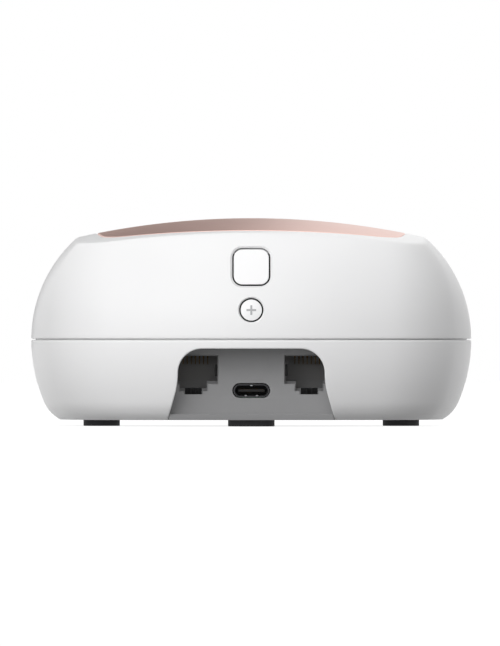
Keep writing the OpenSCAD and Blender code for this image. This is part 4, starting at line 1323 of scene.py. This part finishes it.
bars = [sign_bar(True, -sign_reach, sign_reach)]
bars += [sign_bar(False, sign_half, sign_reach), sign_bar(False, -sign_reach, -sign_half)]
make_piece("round_button_sign", bars, sign_grey, "round_button")


# %% [markdown]
# The feet are soft rubber pads in shallow pockets of the underside. Each is longer than it is wide and has
# round ends, so its outline is a slot's. It is carried up from the sole, where its edge is rounded.

# %% Feet
foot_edge = 0.2
FOOT_STEPS = 24


def foot_rows(x, y, along_y):
    """An upright block with round ends whose lower edge is rounded, from the middle of its sole to its
    top."""
    def level(grow, z):
        """The foot's outline, grown, at that height."""
        return at_height(z)(obround_loop(x, y, foot_l + 2 * grow, foot_w + 2 * grow, along_y, FOOT_STEPS))

    middle = at_height(0)(np.zeros((2 * FOOT_STEPS, 2)) + (x, y))
    edge = [level(-foot_edge * (1 - math.sin(t)), foot_edge * (1 - math.cos(t))) for t in lip_turn]
    top = level(0, pocket_top)
    return [middle, *edge, top, middle + (0, 0, pocket_top)]


for name, place in feet_at.items():
    make_piece(name + "_pad", [net(foot_rows(*place))], foot_rubber, "root", [name])


# %% [markdown]
# ## Port panel
# The panel is a flat grey moulding with two stepped mouths and an obround for the power socket. A flat face
# with holes is filled by triangles between its outlines; the walls of the holes are carried backwards from
# a small lip.

# %% Panel outlines
board_top = node_box("main_board")[1][2]
socket_low, socket_high = node_box("lan_jack_right")
jack_x = (socket_low[0] + socket_high[0]) / 2
jack_y = socket_low[1]
mouth_w, mouth_h, mouth_foot = 12.0, 6.7, board_top + 3.5
latch_w, latch_drop = 6.7, 1.8
notch_w, notch_drop = 4.2, 2.6
port_gap = 0.2
usb_low, usb_high = node_box("usb_shell")
usb_w, usb_h = usb_high[0] - usb_low[0], usb_high[2] - usb_low[2]
usb_z = (usb_low[2] + usb_high[2]) / 2
mouth_feet = np.array([mouth_foot, mouth_foot - latch_drop, mouth_foot - notch_drop])


def mouth_outline(x, t, feet=None):
    """The stepped mouth as twelve corners, anticlockwise from the front, grown by t. feet are the heights
    of its floor and of its two steps; steps at the same height close up, so a deeper row can end a step."""
    base, latch, notch = mouth_feet - t if feet is None else feet
    top = mouth_foot + mouth_h + t
    half, half_latch, half_notch = mouth_w / 2 + t, latch_w / 2 + t, notch_w / 2 + t
    right = [(half_notch, notch), (half_notch, latch), (half_latch, latch), (half_latch, base), (half, base),
             (half, top)]
    left = [(-a, b) for a, b in right[::-1]]
    return np.array(right + left) + (x, 0)


def usb_outline(t):
    """The power socket's outline, grown by t."""
    return obround_loop(0, usb_z, usb_w + 2 * t, usb_h + 2 * t, steps=24)


print("mouths", round(jack_x, 2), "mm to either side, power socket", round(usb_z, 2), "mm up")


# %% Port panel
panel_lip = 0.15
sill_d, sill_round = 2.4, 0.12
sill_front_in, sill_back_in = 0.35, 0.3     # its foot's set-back in front, and its way into the panel


def hole_rows(outline):
    """Rows from a hole's rounded lip in the panel's face to its back."""
    rows = []
    for grow, sink in ROUND_LIP:
        rows.append(at_depth(panel_y + panel_lip * sink)(outline(port_gap + panel_lip * grow)))
    rows.append(at_depth(panel_back)(outline(port_gap)))
    return rows


def sill_rows():
    """The sill's section, a block with a rounded upper front edge, carried from the left to the right; its
    length grows towards its foot as the bay does."""
    top, front, r, back = inner_floor_z, panel_y - sill_d, sill_round, panel_y + sill_back_in
    turn = np.linspace(0, math.pi / 2, 6)
    y = np.concatenate([[front + sill_front_in], front + r - r * np.cos(turn), [back, back]])
    z = np.concatenate([[floor_z], top - r + r * np.sin(turn), [top, floor_z]])
    half = np.array([bay_foot_half(-fit_gap, foot) for foot in z])
    return [np.stack([half * side, y, z], axis=-1) for side in (-1, 1)]


holes = [hole_rows(lambda t, x=x: mouth_outline(x, t)) for x in (-jack_x, jack_x)] + [hole_rows(usb_outline)]
edge_line = bay_outline(bay_wall - fit_gap, floor_z)
panel_parts = [
    flat_fill([edge_line] + [rows[0][:, [0, 2]] for rows in holes], at_depth(panel_y), (0, -1, 0)),
    flat_fill([edge_line] + [rows[-1][:, [0, 2]] for rows in holes], at_depth(panel_back), (0, 1, 0)),
    net([at_depth(panel_y)(edge_line), at_depth(panel_back)(edge_line)], flip=True),
]
panel_parts += [net(rows) for rows in holes]
make_piece("port_panel_face", panel_parts, panel_grey, "root", ["port_panel"])
left_end, right_end = sill_rows()
sill_count = len(left_end)
sill_points, sill_faces = net([left_end, right_end], flip=True)
sill_faces += [list(range(sill_count)), list(range(2 * sill_count - 1, sill_count - 1, -1))]
make_piece("port_panel_sill", [(sill_points, sill_faces)], panel_grey, "root")


# %% [markdown]
# ## Network sockets
# Behind each stepped mouth sits a plastic socket in a mid grey, which is partly the plastic's own dark tone
# and partly painted light that lifts its deep cavity. Its cavity is the mouth carried inwards. The lowest
# step is nine millimetres deep and the latch's step eleven, so those steps close one after the other as the
# rows go in.
# The mouth's floor has a small bevel in front that guides the plug and catches the light. A thin black sheet
# in the side wall is painted shade for the dark spring slot there, and a black block with two ribs sits in
# the front of the lowest step; its black is painted shade that keeps that step dark.

# %% Blocks with soft edges
def soft_block(low, high, edge):
    """A block whose edges are all rounded. Its rows are rounded outlines in X and Z that grow over a
    quarter circle, run along Y and shrink again, between a pole in front and one behind."""
    low, high = np.array(low, float), np.array(high, float)
    x, z = (low[0] + high[0]) / 2, (low[2] + high[2]) / 2
    rows = [np.array([[x, low[1], z]])]
    for turn in np.linspace(0, math.pi, 9):
        inset = edge * (1 - math.sin(turn))
        in_front = turn <= math.pi / 2
        y = low[1] + edge * (1 - math.cos(turn)) if in_front else high[1] - edge * (1 + math.cos(turn))
        width, height = high[0] - low[0] - 2 * inset, high[2] - low[2] - 2 * inset
        outline = rounded_outline(x, z, width, height, edge - inset, 5)
        rows.append(at_depth(y)(outline))
        if abs(turn - math.pi / 2) < 1e-6:
            rows.append(at_depth(high[1] - edge)(outline))
    rows.append(np.array([[x, high[1], z]]))
    return net(rows_of_one_length(rows), flip=True)


def rows_of_one_length(rows):
    """Repeats the single point of a pole row, so that all rows have as many points as the longest."""
    longest = max(len(row) for row in rows)
    return [np.repeat(row, longest, axis=0) if len(row) == 1 else row for row in rows]


print("a soft block has", len(soft_block((0, 0, 0), (1, 1, 1), 0.1)[1]), "faces")


# %% Network sockets
notch_deep, latch_deep, mouth_deep = 9.0, 11.0, 13.0
bevel_up = 0.5
mouth_bevel = 1.0
box_round = 0.3


def cavity_rows(x):
    """The mouth's outline from its front edge, whose floor is bevelled, to the far wall; each step's foot
    rises to the next one where that step ends."""
    floor, latch, notch = mouth_feet + (bevel_up, bevel_up, -port_gap)
    levels = [
        (0.0, (mouth_feet[0] - port_gap, mouth_feet[1] - port_gap, notch)),
        (mouth_bevel, (floor, latch, notch)),
        (notch_deep, (floor, latch, notch)),
        (notch_deep, (floor, latch, latch)),
        (latch_deep, (floor, latch, latch)),
        (latch_deep, (floor, floor, floor)),
        (mouth_deep, (floor, floor, floor)),
    ]
    rows = [at_depth(jack_y + deep)(mouth_outline(x, 0, feet)) for deep, feet in levels]
    rows.append(np.array([[x, jack_y + mouth_deep, mouth_foot + mouth_h / 2]]))
    return rows_of_one_length(rows)


def socket_parts(x):
    """The box with its cavity: a front with the mouth in it, a back, a skin round both, and the cavity's
    rows."""
    low, high = socket_low, socket_high
    box = rounded_outline(x, (low[2] + high[2]) / 2, high[0] - low[0], high[2] - low[2], box_round, 4)
    cavity = cavity_rows(x)
    return [
        flat_fill([box, cavity[0][:, [0, 2]]], at_depth(low[1]), (0, -1, 0)),
        flat_fill([box], at_depth(high[1]), (0, 1, 0)),
        net([at_depth(low[1])(box), at_depth(high[1])(box)], flip=True),
        net(cavity),
    ]


# The sockets' mid grey is partly painted light that lifts their deep cavities.
for name, x in (("left", -jack_x), ("right", jack_x)):
    make_piece(f"lan_socket_{name}", socket_parts(x), socket_dark, "root",
               [f"lan_jack_{name}"])

# %% Painted shade in the spring slots and the lowest steps
rib_w, rib_pitch = 0.3, 1.3
rib_start, shade_block_start, shade_block_end = 0.5, 2.6, 4.0     # from the socket's front
shade_block_play, shade_block_round, shade_block_overlap = 0.02, 0.1, 0.1
slot_shade_in, slot_shade_t, slot_shade_round = 5.35, 0.6, 0.15       # from the socket's middle, and its thickness
slot_shade_start, slot_shade_end = 0.3, 3.4
slot_shade_foot, slot_shade_top = 12.45, 15.45


def notch_shade_parts(x):
    """A black block in the lowest step, painted shade that keeps the step dark, set back behind two thin
    ribs that run into it.
    """
    low, high = mouth_feet[2] - port_gap + 0.01, mouth_feet[1] + bevel_up + shade_block_overlap
    half, block_y = notch_w / 2 - shade_block_play, jack_y + shade_block_start
    parts = [soft_block((x - half, block_y, low), (x + half, jack_y + shade_block_end, high), shade_block_round)]
    for rib_x in (x - rib_pitch / 2, x + rib_pitch / 2):
        near = (rib_x - rib_w / 2, jack_y + rib_start, low)
        far = (rib_x + rib_w / 2, block_y + shade_block_overlap, high)
        parts.append(soft_block(near, far, shade_block_round))
    return parts


# In each socket a black sheet in the side wall is painted shade for the dark spring slot, and a black block
# in the lowest step is painted shade that keeps the step dark.
for name, x, towards in (("left", -jack_x, 1), ("right", jack_x, -1)):
    near, far = sorted((x + towards * slot_shade_in, x + towards * (slot_shade_in + slot_shade_t)))
    slot_shade = soft_block((near, jack_y + slot_shade_start, slot_shade_foot), (far, jack_y + slot_shade_end, slot_shade_top), slot_shade_round)
    make_piece(f"spring_leaf_{name}", [slot_shade], black_and_painted_shade, "root")
    make_piece(f"latch_lock_{name}", notch_shade_parts(x), black_and_painted_shade, "root")


# %% [markdown]
# Eight sprung wires hang from each socket's roof. A wire is a flat oval section carried along a line that
# leaves the roof, slopes down into the socket and runs flat into its far wall.

# %% Contact wires
contact_pitch, contact_w, contact_t, contact_drop = 1.02, 0.44, 0.3, 2.1
contact_start, contact_flat, contact_tip = 2.2, 1.6, 0.09
WIRES, WIRE_ROWS = 8, 16


def swept(path, half_width, half_thickness, steps=12):
    """An oval section along a path in the YZ plane: each row is the path's point plus cosine times X and
    sine times the direction square to the path; a pole closes either end."""
    way = np.gradient(path[:, 1:], axis=0)
    way /= np.linalg.norm(way, axis=1)[:, None]
    square = np.stack([0 * way[:, 0], -way[:, 1], way[:, 0]], axis=-1)
    turn = np.linspace(0, 2 * math.pi, steps, endpoint=False)[None, :, None]
    across = np.array([1.0, 0, 0]) * np.reshape(half_width, (-1, 1, 1))
    rows = path[:, None, :] + np.cos(turn) * across + np.sin(turn) * half_thickness * square[:, None, :]
    first, last = path[:1].repeat(steps, 0), path[-1:].repeat(steps, 0)
    return net(np.concatenate([[first], rows, [last]]), flip=True)


def contact_wires(x):
    """One path for all eight: six bends, read at even steps between them. The wires narrow towards their
    tips."""
    roof = mouth_foot + mouth_h
    foot = roof - contact_drop + contact_t / 2
    start, back = jack_y + contact_start, jack_y + mouth_deep
    flat = back - contact_flat
    y = np.array([start - 0.1, start + 0.35, start + 1.2, flat - 1, flat, back + 0.1])
    z = np.array([roof + 0.1, roof - 0.2, roof - 0.42, foot + 0.16, foot, foot])
    s = np.linspace(0, len(y) - 1, WIRE_ROWS)
    y, z = (np.interp(s, np.arange(len(values)), values) for values in (y, z))
    width = np.linspace(contact_w / 2, contact_tip, len(y))
    wires = []
    for place in x + (np.arange(WIRES) - (WIRES - 1) / 2) * contact_pitch:
        path = np.stack([np.full(len(y), place), y, z], axis=-1)
        wires.append(swept(path, width, contact_t / 2))
    return wires


for name, x in (("left", -jack_x), ("right", jack_x)):
    make_piece(f"lan_wires_{name}", contact_wires(x), contact_gold, "root",
               [f"lan_contacts_{name}"])


# %% [markdown]
# ## Power socket
# The power socket is a steel shell with round ends and a rolled front edge, three small pressed springs,
# and a dark tongue in its middle. The shell's dark tone is painted shade, which keeps its front edge dim.
# The shell could be a thickened tube, but one sheet from its inner back wall to its outside gives the rolled
# edge its true section.

# %% Shell of the power socket
usb_t = 0.3
usb_back = usb_high[1]
spring_in, spring_apart, spring_size = 0.5, 1.4, (0.46, 0.42, 0.36)


def usb_shell_rows():
    """From the pole of the inner back wall forwards, round the rolled front edge, and back along the
    outside."""
    centre = np.array([[0, usb_back - usb_t, usb_z]])
    rows = [centre, at_depth(usb_back - usb_t)(usb_outline(-usb_t))]
    for turn in np.linspace(-math.pi / 2, math.pi / 2, 9):
        grow = usb_t / 2 * (math.sin(turn) - 1)
        rows.append(at_depth(usb_low[1] + usb_t / 2 * (1 - math.cos(turn)))(usb_outline(grow)))
    rows += [at_depth(usb_back)(usb_outline(0)), np.array([[0, usb_back, usb_z]])]
    return rows_of_one_length(rows)


def bump(centre, radii, steps=16):
    """A closed rounded bump: cosines and sines of two angles times three radii."""
    rise = np.linspace(-math.pi / 2, math.pi / 2, 9)[:, None]
    turn = np.linspace(0, 2 * math.pi, steps, endpoint=False)[None, :]
    unit = np.stack([
        np.cos(rise) * np.cos(turn), np.cos(rise) * np.sin(turn), np.sin(rise) + 0 * turn,
    ], axis=-1)
    return net(np.array(centre) + unit * np.array(radii))


inner_half = usb_h / 2 - usb_t
spring_y = usb_low[1] + spring_in
springs = [bump((0, spring_y, usb_z + inner_half), spring_size)]
springs += [bump((x, spring_y, usb_z - inner_half), spring_size) for x in (-spring_apart, spring_apart)]
make_piece("power_socket_springs", springs, steel, "root")
# The shell's dark tone is painted shade.
make_piece("power_socket_shell", [net(usb_shell_rows(), flip=True)], nickel_with_painted_shade, "root",
           ["usb_shell"])

# %% Tongue and pads of the power socket
usb_recess = 1.2
tongue_w, tongue_t, tongue_round = 6.7, 0.7, 0.16
insert_gap, insert_d, insert_play = 0.12, 1.7, 0.02     # the dark block in the shell that holds the tongue
insert_front, insert_back = usb_back - insert_d, usb_back - usb_t - insert_play
PADS = 12
pad_pitch, pad_half, pad_up, pad_in, pad_round = 0.5, 0.13, 0.03, 2.0, 0.025
tongue_y = usb_low[1] + usb_recess

tongue = soft_block((-tongue_w / 2, tongue_y, usb_z - tongue_t / 2),
                    (tongue_w / 2, usb_back - usb_t + 0.1, usb_z + tongue_t / 2), tongue_round)
insert_edge = usb_outline(-usb_t - insert_gap)
insert_rows = rows_of_one_length([
    np.array([[0, insert_front, usb_z]]), at_depth(insert_front)(insert_edge),
    at_depth(insert_back)(insert_edge), np.array([[0, insert_back, usb_z]]),
])
make_piece("power_socket_tongue", [tongue, net(insert_rows, flip=True)], black_and_painted_shade, "root",
           ["usb_tongue"])
pads = []
for x in (np.arange(PADS) - (PADS - 1) / 2) * pad_pitch:
    for side in (-1, 1):
        pad_z = usb_z + side * (tongue_t / 2)
        near = (x - pad_half, tongue_y + pad_in, pad_z - pad_up)
        pads.append(soft_block(near, (x + pad_half, usb_back - pad_in, pad_z + pad_up), pad_round))
make_piece("power_socket_pads", pads, contact_gold, "root")


# %% [markdown]
# ## Everything inside
# The boards, chips, shields, screws, cable and heat sink have the right shape already, so they stay as the
# frame made them and only get their finishes. Each group is keyed by a palette name, which the solids don't
# keep.

# %% Finishes for the frame's own solids
kept_solids = {
    "film": (film_clear, ["plate_film"]),
    "screw_steel": (steel, ["case_screws", "board_screws", "button_board_screws"]),
    "switch_black": (switch_black, ["square_plunger", "round_plunger", "square_switch", "round_switch"]),
    "board_green": (board_green, ["button_board", "main_board"]),
    "ribbon": (cable_ivory, ["ribbon_cable"]),
    "connector_ivory": (cable_ivory, ["ribbon_sockets"]),
    "tin_plate": (tin_plate, ["lan_shield_left", "lan_shield_right", "processor_can", "radio_can",
                              "crystal"]),
    "chip_black": (black_epoxy, ["lan_transformer_left", "lan_transformer_right", "processor", "memory_chip",
                                 "flash_chip", "radio_chip", "radio_amplifiers"]),
    "pad_blue": (pad_blue, ["thermal_pads"]),
    "sink_aluminium": (sink_aluminium, ["heat_sink"]),
    "ferrite": (ferrite_grey, ["power_coil"]),
    "capacitor_can": (sink_aluminium, ["capacitors"]),
    "antenna_plate": (antenna_brass, ["antenna_left", "antenna_right", "antenna_front_left",
                                      "antenna_front_right"]),
    "led_lens": (lamp_resin, ["status_led"]),
    "clear_plastic": (light_plastic, ["light_guide"]),
}
for slot, (material, names) in kept_solids.items():
    for name in names:
        solid = bpy.data.objects[name]
        for place in solid.material_slots:
            place.material = material
kept_count = sum(len(names) for _, names in kept_solids.values())
print(kept_count, "solids keep the frame's shape,", len(made), "pieces are made here")


# %% [markdown]
# ## Stage and light
# The floor looks white and carries the object's shadow, but its own colour is a mid grey, so that it throws
# little light back on the case. The world is white only where the camera looks past the object or where
# something glossy or clear shows it, which Light Path tells. For the soft light that it sheds it is much
# weaker, so pale plastic doesn't clip. The key is a large soft box on the left, and weaker ones in front,
# overhead and behind carry the light round the case. A dark flag beyond the object, which only reflections
# see, darkens part of the plate.

# %% World
def past_the_object(tree):
    """1 where a ray comes from the camera, a glossy surface or a clear one, otherwise 0."""
    path = tree.nodes.new("ShaderNodeLightPath")
    seen = math_node(tree, "MAXIMUM", path.outputs["Is Camera Ray"], path.outputs["Is Glossy Ray"])
    return math_node(tree, "MAXIMUM", seen, path.outputs["Is Transmission Ray"])


AMBIENT = 0.28
world = bpy.data.worlds.new("studio")
scene.world = world
world.use_nodes = True
tree = world.node_tree
background = tree.nodes["Background"]
background.inputs["Color"].default_value = (1, 1, 1, 1)
strength = math_node(tree, "MULTIPLY", past_the_object(tree), 1 - AMBIENT)
tree.links.new(math_node(tree, "ADD", strength, AMBIENT), background.inputs["Strength"])
print("the world sheds", AMBIENT, "of the white that shows")


# %% Floor
def stage_sheet(name, corners, material):
    """A four-cornered sheet that is part of the stage, not of the object."""
    mesh = bpy.data.meshes.new(name)
    mesh.from_pydata((np.array(corners, float) * MM).tolist(), [], [(0, 1, 2, 3)])
    mesh.materials.append(material)
    sheet = bpy.data.objects.new(name, mesh)
    scene.collection.objects.link(sheet)
    sheet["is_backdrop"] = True
    return sheet


FLOOR_REACH = 4000.0
FLOOR_SHINE = 0.82
floor_white = bpy.data.materials.new("floor_white")
floor_white.use_nodes = True
tree = floor_white.node_tree
shader = tree.nodes["Principled BSDF"]
shader.inputs["Base Color"].default_value = srgb(120, 120, 120)
shader.inputs["Roughness"].default_value = 0.6
shader.inputs["Emission Color"].default_value = (1, 1, 1, 1)
floor_shine = math_node(tree, "MULTIPLY", past_the_object(tree), FLOOR_SHINE)
tree.links.new(floor_shine, shader.inputs["Emission Strength"])
floor_corners = np.array([(-1, -1, 0), (1, -1, 0), (1, 1, 0), (-1, 1, 0)]) * FLOOR_REACH
stage_sheet("floor", floor_corners, floor_white)
print("floor", 2 * FLOOR_REACH * MM, "m wide")

# %% Flag
flag_black = bpy.data.materials.new("flag_black")
flag_black.use_nodes = True
flag_black.node_tree.nodes["Principled BSDF"].inputs["Base Color"].default_value = srgb(90, 90, 90)
FLAG_AWAY, FLAG_FOOT, FLAG_TOP = 1300, 5, 1500
FLAG_AZIMUTHS = (179.0, 196.0)
flag_corners = []
for azimuth, z in zip(FLAG_AZIMUTHS + FLAG_AZIMUTHS[::-1], (FLAG_FOOT, FLAG_FOOT, FLAG_TOP, FLAG_TOP)):
    turn = math.radians(azimuth)
    flag_corners.append((FLAG_AWAY * math.sin(turn), -FLAG_AWAY * math.cos(turn), z))
flag = stage_sheet("flag", flag_corners, flag_black)
flag.visible_camera = False
flag.visible_diffuse = False
flag.visible_shadow = False
flag.visible_transmission = False
print("flag from", FLAG_AZIMUTHS[0], "to", FLAG_AZIMUTHS[1], "degrees")


# %% Lamps
LAMP_AWAY, LAMP_AIM = 1.3, 0.025        # metres from the object, and above the floor


def soft_box(name, azimuth, elevation, size, energy, mirrored=False):
    """A square area lamp that looks at the object from LAMP_AWAY metres. The azimuth is 0 on the camera's
    side and grows to the right. Only a mirrored lamp shows in reflections; the others would glare off the
    plate."""
    lamp = bpy.data.objects.new(name, bpy.data.lights.new(name, "AREA"))
    lamp.data.energy = energy
    lamp.data.size = size
    a, e = math.radians(azimuth), math.radians(elevation)
    way = Vector((math.sin(a) * math.cos(e), -math.cos(a) * math.cos(e), math.sin(e)))
    lamp.location = Vector((0, 0, LAMP_AIM)) + LAMP_AWAY * way
    lamp.rotation_euler = way.to_track_quat("Z", "Y").to_euler()
    lamp.visible_glossy = mirrored
    scene.collection.objects.link(lamp)


soft_box("key", -36, 11, 1.2, 11.6)
soft_box("front", 0, 13, 0.9, 3.5)
soft_box("high_key", -6, 42, 0.9, 4.0)
soft_box("overhead", 0, 85, 0.9, 1.8, mirrored=True)
soft_box("right_back", 125, 50, 0.9, 2.4)
soft_box("back", 185, 35, 0.9, 6.5)
scene.view_settings.view_transform = "Standard"
print("lamps:", [lamp.name for lamp in bpy.data.lights])

# %% Sizes
low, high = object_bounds()
print("visual box", [round(v / MM, 2) for v in (*low, *high)])
